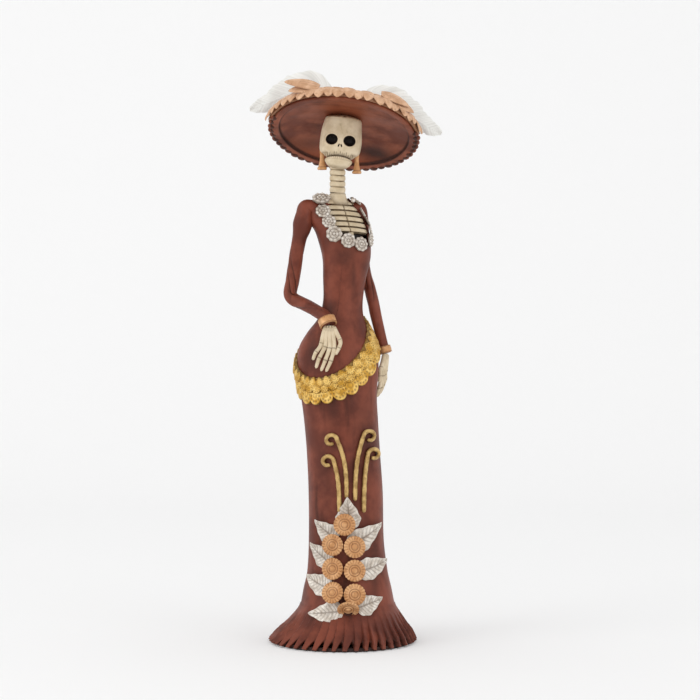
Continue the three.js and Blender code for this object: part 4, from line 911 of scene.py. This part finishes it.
def flower(radius, thick, sides=120):
    """Rings from the back of the head round its rim to its middle: a notched rim, a round of narrow petals parted by
    grooves, a groove, a raised ring and a button. Rows of the back are radius, height over thick, and hollow."""
    # The back of the head darkens towards the stalk: painted shade under it.
    back = np.array([(0.42, -2.4, 0.9), (0.62, -1.3, 0.6), (0.86, -0.2, 0.3), (0.97, 0.4 * thick, 0.15)])
    front = np.concatenate([np.linspace(1, 0.5, 14), np.linspace(0.46, 0, 14)])
    rho = np.concatenate([back[:, 0], front])[:, None]
    turn = circle(sides)[None]
    bump = lambda middle, wide: bell(rho, middle, wide)
    petal = np.abs(np.cos(10 * turn)) ** 0.6
    zone = clamp((rho - 0.58) / 0.12) * clamp((1.02 - rho) / 0.05)
    face = -0.55 * clamp((rho - 0.86) / 0.14) ** 2 - 0.6 * (1 - petal) * zone + 0.35 * zone
    face = face + 0.45 * bump(0.4, 0.05) + 1.15 * np.sqrt(clamp(1 - (rho / 0.25) ** 2)) - 0.35 * bump(0.5, 0.04)
    face[: len(back)] = back[:, 1:2] - thick
    reach = radius * rho * (1 - 0.045 * (1 - petal) * (rho > 0.8))
    hollow = 0.34 * (1 - petal) * zone + 0.8 * bump(0.5, 0.04) + 0.75 * bump(0.3, 0.04) + 0 * turn
    hollow[: len(back)] = back[:, 2:]
    return reach * np.cos(turn), reach * np.sin(turn), face, clamp(hollow)


heads, stalks = [], []
for i, (fx, fz, stand, tilt) in enumerate(flower_places):
    s = smooth(DRESS, fz)
    angle = np.arcsin((fx - s[3]) / (s[1] + stand))
    x, y, h, hollow = flower(FLOWER_RADIUS, 2.2)
    spin = i * 0.7
    x, y = x * np.cos(spin) - y * np.sin(spin), x * np.sin(spin) + y * np.cos(spin)
    lean = np.arctan(tilt)
    y, h = y * np.cos(lean) + h * np.sin(lean), h * np.cos(lean) - y * np.sin(lean)
    points = on_dress(fz, angle, x, y, h + stand)
    heads.append((points, hollows(hollow)))
    turn = circle(32)[None]
    r = np.array([4.6, 3.6, 3.3, 3.6, 4.2])[:, None]
    level = np.array([-1.5, 0.8, 2.5, stand - 4.4, stand - 3.4])[:, None] + 0 * turn
    shade = np.array([0.9, 0.8, 0.7, 0.75, 0.85])[:, None] + 0 * turn
    points = on_dress(fz, angle, r * np.sin(turn), -r * np.cos(turn), level)
    stalks.append((points, hollows(shade)))
piece = skin("flower_heads", heads, copper_acrylic, crease=75)
fix(piece, "figure", "copper_paint", *[f"flower_{i}" for i in range(1, 9)])
piece = skin("flower_stalks", stalks, red_acrylic)
fix(piece, "figure", "copper_paint", *[f"flower_{i}" for i in range(1, 9)])

# ---- The tendrils ----
# Four stems of rolled paper cord, glued to the skirt, that curl over outwards, in gold acrylic over umber.
brass_acrylic = gilt("brass_acrylic", "#d3b273", "#a4824c", "#5d4526", patch=6, metal=0.4, rough=0.48)
# The foot of each stem and the middle of its curl, by x and z on the skirt, and the side to which it curls.
SCROLLS = (
    ((-2.7, 113.5), (-12, 156), -1),
    ((3, 125.6), (-9.4, 174), -1),
    ((9.9, 123), (21.2, 177), 1),
    ((16.9, 112.9), (24.8, 161.5), 1),
)


def tendril(foot, curl, side, wire=1.9, radius=4.9):
    """A stem that leaves its foot straight up, then an arc of slowly shrinking radius round the middle of its curl."""
    start = curl[0] - side * radius
    t = np.linspace(0, 0.9, 7)
    stem = np.stack([foot[0] + (start - foot[0]) * t**3, foot[1] + (curl[1] - foot[1]) * t], -1)
    turn = np.radians(np.linspace(6, 318, 13))
    r = radius * np.interp(turn, [0, 1.2, 5.5], [1, 1, 0.52])
    arc = np.stack([curl[0] - side * r * np.cos(turn), curl[1] + r * np.sin(turn)], -1)
    flat = np.concatenate([stem, arc])
    s = smooth(DRESS, flat[:, 1])
    line = path(dress(flat[:, 1], np.arcsin((flat[:, 0] - s[:, 3]) / s[:, 1]), wire + 0.2), 110)
    run = np.linspace(0, 1, len(line))
    size = wire * np.interp(run, [0, 0.1, 0.7, 1], [0.85, 1, 0.95, 0.82]) * (1 + 0.05 * np.sin(run * 60 + curl[0]))
    size = size * np.sqrt(clamp((1 - run) / 0.016)) * np.sqrt(clamp(run / 0.016))
    points = tube(line, size, 18)
    skirt_side = np.linalg.norm(points[..., :2] - [2, 0], axis=-1) - np.linalg.norm(line[:, None, :2] - [2, 0], axis=-1)
    # The side of the cord towards the skirt darkens: painted shade between the cord and the skirt.
    hollow = np.clip(-0.55 * skirt_side / wire + 0.1, 0, 0.9)
    return points, hollows(hollow)


piece = skin("tendrils", [tendril(*scroll) for scroll in SCROLLS], brass_acrylic)
fix(piece, "figure", "gold_paint", *[f"tendril_{i}" for i in range(1, 5)])

# ---- The neck ----
# A column of stacked vertebrae that turns on the peg in the collar, bone-white with umber between the bones.
SEAT, NECK_TOP, NECK_RADIUS, BORE_DEEP = 385, 405, 6.7, 18
run = np.linspace(0, 1, 120)
level = SEAT + 0.35 + run * (NECK_TOP + 12 - SEAT)
bone = ((level - SEAT - 0.35) / 4.9) % 1
groove = bell(np.abs(bone - 0.5), 0.5, 0.09) * (level > SEAT + 2) * (level < NECK_TOP + 2)
radius = NECK_RADIUS - 0.15 + 0.3 * np.sin(np.pi * bone) - 0.75 * groove
bore = [(0, SEAT + BORE_DEEP), (2.6, SEAT + BORE_DEEP), (2.6, SEAT + 0.35)]
profile = np.concatenate([bore, np.stack([radius, level], -1), [(0, NECK_TOP + 12)]])
body = lathe(profile, 72, NECK_X, NECK_Y)
body[..., 2] += 0.35 * np.sin(2 * np.arctan2(body[..., 0] - NECK_X, body[..., 1] - NECK_Y) + level.mean())
# The bore is dark inside: painted shade.
hollow = np.concatenate([[1, 1, 0.8], clamp(groove * 1.1), [0]])[:, None]
hollow = hollow * (0.75 + 0.25 * np.sin(3 * np.linspace(0, 6.28, 72)))
piece = skin("neck", [(body, hollows(hollow))], bone_acrylic, crease=60)
fix(piece, "head", "bone_paint", "neck_column")

# ---- The skull ----
# A small boxy skull of paper pulp with round sockets, two slit nostrils and teeth scratched along the arched mouth.
# Its own frame stands on the neck and leans to her left. Rows are height, half width, half depth and centre y.
HEAD_ROLL, SQUARE, ARCH, JAW_WIDE = np.radians(6.5), 2.6, 2.4, 12
SKULL = np.array(
    [
        (11, 9.5, 11, -3.5),
        (12.2, 11.5, 13, -3),
        (13.2, 13.2, 14.5, -2.5),
        (14.4, 15.8, 15.5, -2.5),
        (16, 17.2, 16.8, -2),
        (20, 17.8, 17.6, -1.5),
        (25, 17.9, 18, -1),
        (33, 17.3, 18, -0.5),
        (39, 16.5, 17, -0.8),
        (42, 15.9, 16.4, -1),
        (43.8, 15, 15.6, -1.2),
        (44.8, 13, 13.5, -1.5),
    ]
)
EYE_WIDE, EYE_APART, EYE_Z, NOSE_Z, MOUTH_Z = 5.0, 15.2, 24, 19.4, 10.75


def on_head(points):
    """The head's frame: turned about y by its roll, then set on the neck."""
    x, y, z = np.moveaxis(np.asarray(points, float), -1, 0)
    c, s = np.cos(HEAD_ROLL), np.sin(HEAD_ROLL)
    return np.stack([x * c + z * s + NECK_X, y + NECK_Y, z * c - x * s + NECK_TOP], -1)


def head_loft(table, z, turn, grow=0.0):
    """Superellipses |x|^2.6 + |y|^2.6 at each height, dropped towards the cheeks near the mouth."""
    s = smooth(table, z)
    box = (np.abs(np.sin(turn)) ** SQUARE + np.abs(np.cos(turn)) ** SQUARE) ** (-1 / SQUARE)
    x = (s[..., 1] + grow) * box * np.sin(turn)
    y = s[..., 3] - (s[..., 2] + grow) * box * np.cos(turn)
    near = clamp(1 - np.abs(z - MOUTH_Z) / 6)
    return np.stack([x, y, z - ARCH * near * np.minimum(1, (x / JAW_WIDE) ** 2)], -1)


turn = np.concatenate([np.linspace(-1.15, 1.15, 250), np.linspace(1.15, 2 * np.pi - 1.15, 80)[1:-1]])[None]
z = np.linspace(SKULL[0, 0], SKULL[-1, 0], 190)[:, None] + 0 * turn
face = head_loft(SKULL, z, turn)
front = np.cos(turn) > 0.2
eyes = np.zeros(z.shape)
dent = np.zeros(z.shape)
for side in (-1, 1):
    away = np.hypot((face[..., 0] - side * EYE_APART / 2) / EYE_WIDE, (face[..., 2] - EYE_Z) / (EYE_WIDE * 0.9))
    dent = dent + 6.5 * np.sqrt(clamp(1 - away**2)) * front
    dent = dent - 0.45 * bell(away, 1.18, 0.16) * front
    eyes = np.maximum(eyes, clamp((1.07 - away) / 0.09) * front)
    slit = np.hypot((face[..., 0] - side * (1.1 - 0.3 * (face[..., 2] - NOSE_Z))) / 0.6, (face[..., 2] - NOSE_Z) / 1.3)
    dent = dent + 1.6 * np.sqrt(clamp(1 - slit**2)) * front
    eyes = np.maximum(eyes, clamp((1.15 - slit) / 0.3) * front * 0.95)
row = face[..., 2] + ARCH * 0.9 * np.minimum(1, (face[..., 0] / JAW_WIDE) ** 2)
tooth = np.abs(((face[..., 0] + 0.9) / 1.75) % 1 - 0.5) * 2
tooth = clamp((tooth - 0.6) / 0.3) * clamp((row - 11.2) / 0.4)
tooth = tooth * clamp((14.2 + 0.9 * np.sin(2.3 * face[..., 0]) - row) / 0.8)
tooth = tooth * front * (np.abs(face[..., 0]) < 12.3)
cheek = 0.5 * bell(z, 13.6, 0.8) * (np.abs(face[..., 0]) > 10)
crown_edge = clamp((z - 42.8) / 1.5) * (0.4 + 0.4 * np.sin(9 * turn + 2 * np.sin(5 * turn)))
dent = dent + 0.6 * tooth + wobble(face, 14, 0.25, 11)
s = smooth(SKULL, z)
inward = unit(np.stack([-face[..., 0] / s[..., 1], (s[..., 3] - face[..., 1]) / s[..., 2], 0 * z], -1))
inward = np.where((eyes > 0)[..., None], np.array([0.0, 1.0, 0.0]), inward)
face = face + dent[..., None] * inward
# Painted shade: the sockets and the nostrils turn nearly black, and the skull darkens towards its underside over the
# jaw.
hollow = clamp(1.1 * tooth + cheek + crown_edge + 0.6 * clamp((11.8 - z) / 0.6))
hollow = np.maximum(hollow, 1.9 * eyes)
cap = face[-1:].mean(axis=1, keepdims=True) + 0 * face[-1:]
inner_cap = (face[-1:] - cap) * 0.55 + cap + [0, 0, 1.1]
base = face[:1].mean(axis=1, keepdims=True) + 0 * face[:1]
inner_base = (face[:1] - base) * 0.6 + base + [0, 0, 1.2]
face = np.concatenate([base + [0, 0, 1.5], inner_base, face, inner_cap, cap + [0, 0, 1.4]])
hollow = np.concatenate([0 * hollow[:2] + 1, hollow, 0.5 + 0 * hollow[:2]])
piece = skin("skull_pulp", [(on_head(face), hollows(hollow))], bone_acrylic, crease=80)
fix(piece, "head", "bone_paint", "skull")

# ---- The jaw ----
# A crescent of paper pulp set under the skull, whose top edge follows the arch of the mouth.
JAW = np.array([(1.6, 7.5, 5.5, -8.5), (3.5, 9.9, 7.5, -8.5), (7, 11.6, 9.0, -8.0), (10.4, 11, 9.4, -7.5)])
turn = circle(160)[None]
z = np.linspace(1.6, 10.4, 60)[:, None] + 0 * turn
chin = head_loft(JAW, z, turn, 0.25 * np.sin(np.pi * clamp((z - 6.8) / 3.6)))
front = clamp(np.cos(turn) / 0.4)
tooth = clamp((np.abs(((chin[..., 0] + 0.9) / 1.8) % 1 - 0.5) * 2 - 0.75) / 0.25) * front
tooth = tooth * clamp((z - 8.4) / 0.6)
crease = bell(z, 8.0, 0.3) * front * 0.3
s = smooth(JAW, z)
middle = np.stack([0 * z, s[..., 3], z], -1)
chin = chin + (unit(middle - chin + 1e-9) * [1, 1, 0]) * (0.3 * tooth + 0.25 * crease)[..., None]
# Painted shade: the top edge and the top under the skull, and the underside of the chin, darken.
hollow = clamp(0.6 * tooth + crease + clamp((z - 9.9) / 0.4) + 0.35 * clamp((3 - z) / 1.4))
low, high = (row.mean(axis=1, keepdims=True) + 0 * row for row in (chin[:1], chin[-1:]))
chin = np.concatenate([low - [0, 0, 1.2], (chin[:1] - low) * 0.6 + low - [0, 0, 0.9], chin, high - [0, 0, 0.8]])
hollow = np.concatenate([0.4 + 0 * hollow[:2], hollow, 0 * hollow[:1] + 1])
piece = skin("jaw_pulp", [(on_head(chin), hollows(hollow))], bone_acrylic, crease=80)
fix(piece, "head", "bone_paint", "jaw")

# ---- Ear hooks and earrings ----
# A wire ring through each cheek, and on it a flared drop of paper in copper acrylic, which hangs plumb and swings.
HOOK_RADIUS, HOOK_WIRE, HOOK_X, HOOK_Y, HOOK_Z, DROP_UP = 2.4, 0.45, 15, -1, 17.1, 1.2
for name, side in (("right", -1), ("left", 1)):
    turn = circle(40)[:, None]
    round_it = circle(12)[None]
    r = HOOK_RADIUS + HOOK_WIRE * np.cos(round_it)
    x = side * HOOK_X + HOOK_WIRE * np.sin(round_it) + 0 * turn
    hook = np.stack([x, HOOK_Y + r * np.cos(turn), HOOK_Z + r * np.sin(turn)], -1)
    piece = skin(name + "_cheek_ring", [(on_head(hook)[:, ::-1], [0, 0, 0.2])], copper_acrylic, closed=(True, True))
    fix(piece, "head", "copper_paint", name + "_ear_hook")
    pivot = on_head([side * HOOK_X, HOOK_Y, HOOK_Z - HOOK_RADIUS + HOOK_WIRE + 0.35 - DROP_UP])
    # Rows of the drop from its foot up: height, half width, half depth, and hollow.
    drop = [(-15.2, 0, 0, 1), (-15.4, 2.8, 1.7, 0.9), (-15.8, 3.7, 2.2, 0.3), (-15, 4.1, 2.5, 0)]
    drop += [(-13.8, 3.9, 2.4, 0.1), (-13, 3.1, 1.9, 0.6), (-12.4, 3.1, 1.9, 0.1), (-9.5, 2.3, 1.5, 0)]
    drop += [(-6, 1.9, 1.3, 0), (-3, 1.8, 1.2, 0.1), (0, 2.1, 1.3, 0)]
    drop = np.array(drop + [(1.6, 1.9, 1.1, 0.1), (2.2, 1.2, 0.7, 0.2), (2.4, 0, 0, 0.2)])
    turn2 = circle(40)[None]
    body = np.stack([drop[:, 1:2] * np.sin(turn2), -drop[:, 2:3] * np.cos(turn2), drop[:, :1] + 0 * turn2], -1)
    shade = drop[:, 3:] + 0 * turn2
    patches = [(body + pivot, hollows(shade))]
    piece = skin(name + "_ear_drop", patches, copper_acrylic)
    fix(piece, name + "_earring", "copper_paint", name + "_earring")

# ---- The hat ----
# A wide dish of papier-mache with a flat lip, tipped back on the skull, and a low crown on top. It is brushed
# round and round in the dress's red-brown, darker in the step of the lip. Painted shade darkens the dish towards
# its middle and in two patches behind the skull.
# The dish and the top side are given by radius and height, from the middle of the dish round the edge.
HAT_X, HAT_Y, HAT_Z, TILT = 1.8, 2, 30.5, np.radians(22.6)
DISH = [(14, 11), (19, 11), (22.5, 10.95), (27, 10.5), (33.1, 9.46), (39, 8.15), (45, 6.8), (51, 5.2), (54.4, 4)]
DISH += [(55.5, 3.3), (56, 2.2), (56.2, 1.0), (56.9, 0.55), (58, 0.4), (59.6, 0.2), (61.2, 0.1), (62.1, 0.3)]
DISH += [(62.5, 1.1)]
TOPSIDE = [(62.4, 2.2), (61.6, 3.0), (58, 4.0), (53.8, 6.2), (45, 9.6), (33.1, 12.6), (26, 14), (20, 14.1), (14, 14.1)]


def on_hat(points):
    """The hat's frame: tipped back about x, then set on the head."""
    x, y, z = np.moveaxis(np.asarray(points, float), -1, 0)
    c, s = np.cos(TILT), np.sin(TILT)
    return on_head(np.stack([x + HAT_X, y * c + z * s + HAT_Y, z * c - y * s + HAT_Z], -1))


# The same red-brown acrylic, brushed round the dish: strokes 30 mm long across the hat, more wash than on the dress.
hat_acrylic = brushed_paint(
    "hat_acrylic", "#8c4c33", "#662f1b", "#2a1610", 34, (40, 14, 8), 0.5, washing=(0.52, 0.84), shine=0.22
)
corners = np.array(DISH + TOPSIDE, float)
length = run_along(corners)
fine = np.sort(np.concatenate([np.linspace(0, length[-1], 120), length]))
r, z = (np.interp(fine, length, corners[:, k])[:, None] for k in (0, 1))
turn = circle(240)[None]
under = (fine[:, None] < length[len(DISH) - 1]) * 1.0
ripple = 0.35 * np.sin(3 * turn + r / 9) * np.sin(2 * turn + 1) * clamp((r - 16) / 20)
brim = around(r, turn, z + ripple)
step = bell(r, 56, 0.8) * under
# Painted shade under the brim: the dish darkens towards its middle, and in a strong patch and a faint one behind the
# skull.
dish_shade_middle = under * clamp((54 - r) / 45) * 0.11
dish_shade_strong = under * np.exp(-(((r * np.sin(turn) - 30) / 19) ** 2 + ((r * -np.cos(turn) - 37) / 9) ** 2)) * 0.95
dish_shade_faint = under * np.exp(-(((r * np.sin(turn) + 30) / 20) ** 2 + ((r * -np.cos(turn) - 34) / 9) ** 2)) * 0.45
hollow = np.clip(0.9 * step + dish_shade_middle + dish_shade_strong + dish_shade_faint, 0, 0.92) * (r < 57)
patches = [(on_hat(brim), hollows(hollow))]
piece = skin("brim_dish", patches, hat_acrylic, closed=(True, True))
fix(piece, "head", "brown_paint", "hat_brim")

# ---- The beaded edge ----
# Small flat beads of paper pulp pressed side by side round the edge of the brim, as far as the garland.
BEADS = 52
at = np.arange(BEADS) * 2 * np.pi / BEADS
at = at[np.abs(np.sin(at / 2)) > np.sin(np.radians(38))][:, None, None]
rng = np.random.default_rng(12)
size = rng.uniform(0.9, 1.08, at.shape)
up = np.linspace(-np.pi / 2, np.pi / 2, 9)[None, :, None]
turn = circle(14)[None, None]
radial = 62.7 + 3.3 * size * np.cos(up) * np.cos(turn) * (1 - 0.12 * np.sin(turn) ** 2)
side = 3.95 * size * np.cos(up) * np.sin(turn)
level = 1.3 + 2.0 * np.sign(np.sin(up)) * np.abs(np.sin(up)) ** 0.8 + 0 * turn + rng.uniform(-0.3, 0.3, at.shape)
bead = np.stack(
    [radial * np.sin(at) + side * np.cos(at), -radial * np.cos(at) + side * np.sin(at), level + 0 * side], -1
)
# Their inner side against the brim and their flanks between the beads darken: painted shade.
hollow = np.clip(0.9 - (radial - 62) / 3, 0, 0.8) + 0.35 * np.abs(np.sin(turn)) ** 6
piece = skin("beaded_edge", [(on_hat(bead), hollows(hollow))], hat_acrylic)
fix(piece, "head", "brown_paint", "hat_edging")

# ---- The crown ----
# A low domed crown with a rolled band round its foot, pressed from the same paper.
CROWN = [(0, 14.35), (24.4, 14.35), (25.3, 15.2), (25.5, 16.8), (25.2, 18.4), (24.2, 19.2), (23.7, 19.6), (23.8, 22)]
CROWN += [(23.4, 24.5), (22.4, 27), (20.6, 29.4), (17.8, 31.4), (14, 32.6), (9, 33.2), (4, 33.4), (0, 33.4)]
CROWN = np.array(CROWN, float)
length = run_along(CROWN)
fine = np.linspace(0, length[-1], 110)
turn = circle(120)[None]
r, z = (np.interp(fine, length, CROWN[:, k])[:, None] for k in (0, 1))
dimple = 1.2 * bell(r, 0, 9) * (z > 30)
dented = r * (1 + 0.012 * np.sin(3 * turn + 1) * (z > 20))
body = around(dented, turn, z - dimple)
# The foot, where the crown meets the brim, darkens: painted shade.
hollow = bell(z, 19.5, 0.5) * 0.9 + 0.6 * (z < 14.8) + 0.25 * clamp((9 - r) / 9) + 0 * turn
piece = skin("crown_dome", [(on_hat(body), hollows(hollow))], hat_acrylic)
fix(piece, "head", "brown_paint", "hat_crown")

# ---- The garland of the hat ----
# Laurel leaves of thick paper in copper acrylic, laid like tiles over the front of the brim: a lower row that hangs
# over the edge, an upper row that points sideways, and two loose leaves that stand off at each side.
GARLAND_FROM, GARLAND_TO = -81, 77
rose_acrylic = gilt("rose_acrylic", "#dfb592", "#c59772", "#7d4a26", metal=0.2, rough=0.48)


def laurel(long, wide, arch=1.0, columns=10):
    """A leaf whose half width is a sine of its run, pointed at its tip, with a ridged midrib and rounded edges.
    Returns the run in mm, the place across, the height, and the hollow, over the face and back underneath."""
    run = np.linspace(0, 1, 22)[:, None]
    half = np.sin(np.pi * clamp(run * 0.93 + 0.07) ** 0.8) ** 0.62 * wide / 2
    across, upper = two_sided(columns)
    height = upper * (1.1 * (1 - across**2) ** 0.5 * clamp(half / wide * 4)) + arch * np.sin(np.pi * run) * 0.6
    height = height + 0.35 * upper * bell(across, 0, 0.14) * (1 - run)
    edge = clamp((np.abs(across) - 0.8) / 0.2)
    hollow = 0.55 * edge * (1 - 0.5 * run) + 0.5 * bell(np.abs(across), 0.2, 0.07) * upper * (1 - run)
    # The back of each leaf and its root, under the leaf before it, are darker: painted shade.
    hollow = hollow + 0.3 * (1 - upper) + 0.4 * clamp(0.15 - run)
    return run * long, half * across, height, clamp(hollow)


# Height of the garland's bed over the brim, by distance from the hat's axis.
BED = np.array([(48, 8.6), (53, 8.2), (58, 8.8), (62, 8.2), (65, 6), (66.8, 3.2), (67.9, 0.2), (68.3, -3.4)])
BED_RUN = np.concatenate([[0], np.cumsum(np.hypot(*np.diff(BED, axis=0).T))])


def garland_leaf(degrees, start, long, wide, lean, lift):
    """A leaf laid on the bed from a start in mm along it, leaning sideways, and bent over the bed's curve."""
    run, side, height, hollow = laurel(long, wide)
    lean = np.radians(lean)
    along = start + run * np.cos(lean) - side * np.sin(lean)
    aside = run * np.sin(lean) + side * np.cos(lean)
    r, z = (np.interp(along, BED_RUN, BED[:, k]) for k in (0, 1))
    ahead_r, ahead_z = (np.interp(along + 0.5, BED_RUN, BED[:, k]) for k in (0, 1))
    slope = np.arctan2(ahead_z - z, ahead_r - r)
    extra = np.clip(along - BED_RUN[-1], 0, 9)
    off = height + lift + 0.02 * run
    r, z = r - off * np.sin(slope), z + off * np.cos(slope) - extra
    angle = np.radians(degrees) + aside / 63
    points = around(r, angle, z)
    return on_hat(points), hollows(hollow)


rng = np.random.default_rng(21)
patches = []
angle = np.radians(np.linspace(GARLAND_FROM, GARLAND_TO, 60))[:, None]
section = [(49, 8.3), (49.4, 7.0), (55, 6.2), (61, 3.2), (63.2, 1.6), (65.4, 0.4), (66.4, 1.6), (65.2, 5)]
section += [(63, 8.2), (57, 8.6)]
r, z = np.array(section).T[:, None]
bed = on_hat(around(r, angle, z))
ends = [bed[k : k + 1].mean(axis=1, keepdims=True) + 0 * bed[:1] for k in (0, -1)]
# The bed under the leaves is dark all over: painted shade below the leaves.
patches.append((np.concatenate([ends[0], bed, ends[1]])[:, ::-1], [0, 0, 0.85]))
for k, degrees in enumerate(np.linspace(GARLAND_FROM + 3, GARLAND_TO - 3, 22)):
    wide, lean = 11.4 + rng.uniform(-0.7, 0.7), rng.uniform(-9, 9)
    patches.append(garland_leaf(degrees, 11.5 + rng.uniform(-0.6, 0.6), 15.5, wide, lean, 0.1 + 0.25 * (k % 2)))
for degrees in np.linspace(GARLAND_FROM + 6, GARLAND_TO - 8, 21):
    way = -1 if degrees < 8 else 1
    start = 5.6 + rng.uniform(-1, 1)
    patches.append(garland_leaf(degrees, start, 15, 11.5, way * (38 + rng.uniform(-8, 8)), 0.9))


def loose_leaf(place, way, up, long, wide, droop):
    """A leaf that springs from a place on the hat along a direction, its face towards up, its tip drooping."""
    run, side, height, hollow = laurel(long, wide, 1.5, 14)
    way = unit(np.array(way, float))
    across = unit(np.cross(up, way))
    up = np.cross(way, across)
    bend = (height - droop * (run / long) ** 2)[..., None]
    points = np.array(place, float) + run[..., None] * way + side[..., None] * across + bend * up
    return on_hat(points), hollows(hollow)


patches.append(loose_leaf((-24, -58, 10.6), (-27, 4, 5), (-0.1, -0.9, 0.35), 31, 12.5, 1.5))
patches.append(loose_leaf((-26, -58, 8.6), (-24, 6, 0.5), (0, -0.9, 0.3), 25, 11.5, 2.0))
patches.append(loose_leaf((28, -57, 12), (24, 8, -2.5), (0.25, -0.9, 0.4), 27, 12, 2.0))
patches.append(loose_leaf((36, -53, 9), (18, 9, -1), (0.35, -0.9, 0.3), 25, 11.5, 2.2))
piece = skin("garland_leaves", patches, rose_acrylic, crease=75)
fix(piece, "head", "copper_paint", "hat_garland")

# ---- The plumes ----
# Two white goose feathers, whose quills plug into the crown: a bare shaft, then soft barbs that slant to the tip and
# part here and there. They arch out over the brim and droop.
PLUME_LONG, PLUME_WIDE, PLUME_DROOP, QUILL_DEEP = 84, 14.5, 27, 8
QUILL_X, QUILL_Y, QUILL_Z, QUILL_LEAN = 10.5, 21.5, 52.5, np.array([0.45, 0.2, 0.87])
VANE = np.array([0, 0, 0, 0.3, 0.6, 0.85, 1, 1, 0.98, 0.9, 0.76, 0.61, 0.48, 0.35, 0.12])
# Feather vane: matt warm white keratin barbs 0.9 mm apart, drawn that coarse so that they show.
feather_vane, tree = new_material("goose_feather")
guide = add_node(tree, "Attribute", attribute_name="guide")
part = add_node(tree, "SeparateXYZ", {0: guide.outputs["Vector"]})
wave = {0: part, 1: 2 * np.pi / 0.9}
wave = add_node(tree, "Math", wave, operation="MULTIPLY")
wave = add_node(tree, "Math", {0: wave}, operation="SINE")
drawn = add_node(tree, "CombineXYZ", {0: part, 1: part.outputs[1]})
drawn = add_node(tree, "Mapping", {"Vector": drawn, "Scale": (0.45, 0.03, 1)})
clump = add_node(tree, "TexNoise", {"Vector": drawn, "Scale": 1.0, "Detail": 4.0})
shade = {"Value": clump, "From Min": 0.35, "From Max": 0.65}
shade = add_node(tree, "MapRange", shade, interpolation_type="SMOOTHSTEP")
tone = mix(tree, shade, colour("#f4f4f0"), colour("#e2e2dd"))
tone = mix(tree, part.outputs[2], tone, colour("#d9d3c4"))
height = {0: wave, 1: 0.12, 2: clump}
height = add_node(tree, "Math", height, operation="MULTIPLY_ADD")
relief = add_node(tree, "Bump", {"Height": height, "Strength": 0.6, "Distance": 0.0004})
vane = {"Base Color": tone, "Roughness": 0.85, "Specular IOR Level": 0.25, "Normal": relief}
vane |= {"Subsurface Weight": 0.25, "Subsurface Radius": (0.004, 0.004, 0.004), "Sheen Weight": 0.15}
principled(tree, vane)


def plume(side, rows=160, columns=31):
    """A blade carried along the feather's line: its edges are lobed where barbs part, and it cups downwards."""
    lean = unit(QUILL_LEAN)
    foot = np.array([QUILL_X, QUILL_Y, QUILL_Z])
    rise = 2.4 if side < 0 else -2.4
    points = [foot + lean * d for d in (-QUILL_DEEP, 0, QUILL_DEEP * 0.6)]
    for share, y, z in ((0.24, 4, 16), (0.38, 5, 18 + 0.8 * rise), (0.54, 5.5, 12.5 + 1.1 * rise)):
        points.append((PLUME_LONG * share, QUILL_Y + y, QUILL_Z + z))
    points.append((PLUME_LONG * 0.7, QUILL_Y + 5, QUILL_Z + 18 - PLUME_DROOP * 0.5 + rise))
    points.append((PLUME_LONG * 0.84, QUILL_Y + 4, QUILL_Z + 17 - PLUME_DROOP * 0.69 + rise * 0.7))
    points.append((PLUME_LONG, QUILL_Y + 3, QUILL_Z + 16 - PLUME_DROOP * 0.86 + rise * 0.4))
    line = path(np.array(points) * [side, 1, 1] + [HAT_X, 0, 0], rows)
    t = np.linspace(0, 1, rows)[:, None]
    way = unit(np.gradient(line, axis=0))
    upward = unit(np.stack([-way[:, 2] * side, 0 * way[:, 0], way[:, 0] * side], -1))[:, None]
    through = np.cross(way[:, None], upward)
    across, upper = two_sided(columns)
    half = PLUME_WIDE * np.interp(t, np.linspace(0, 1, 15), VANE)
    ragged = 1 + 0.035 * np.sin(t * 37 + across * 2 + side) + 0.03 * np.sin(t * 91 + 3 * np.sign(across))
    lobe = 1 - 0.16 * bell(t - 0.79 - 0.05 * side, 0, 0.012) * (across < 0)
    side_way = across * half * ragged * lobe
    cup = -2.2 * across**2 * clamp(half / PLUME_WIDE) + 0.5 * np.sin(t * 25 + across * 3)
    shaft = 0.95 * (1 - 0.75 * t) * np.sqrt(clamp(1 - (side_way / (1.05 - 0.7 * t)) ** 2))
    thick = (2 * upper - 1) * (0.28 * (1 - np.abs(across) ** 3) + shaft) * clamp((1 - t) / 0.02)
    sweep = 0.35 * np.abs(side_way)
    # The quill's own round section, where there is no vane yet.
    bare = clamp(1 - half / 2)
    ring = circle(2 * columns)[None] + np.pi / (2 * columns)
    ends = np.sqrt(clamp(t / 0.01))
    side_way = side_way * (1 - bare) - bare * np.cos(ring) * ends
    thick = thick * (1 - bare) + bare * np.sin(ring) * ends
    body = line[:, None] + side_way[..., None] * upward + ((thick + cup * (1 - bare)) * side)[..., None] * through
    body = body + (sweep * (1 - bare))[..., None] * way[:, None]
    guide = np.stack([120 * t - 0.9 * np.abs(side_way), side_way + 0 * t, bare * 0.8 + 0 * side_way], -1)
    return (on_head(body)[:, ::-1], guide[:, ::-1]) if side > 0 else (on_head(body), guide)


for name, side in (("right_plume", -1), ("left_plume", 1)):
    piece = skin(name + "_feather", [plume(side)], feather_vane, crease=80)
    fix(piece, name, "white_feather", name)
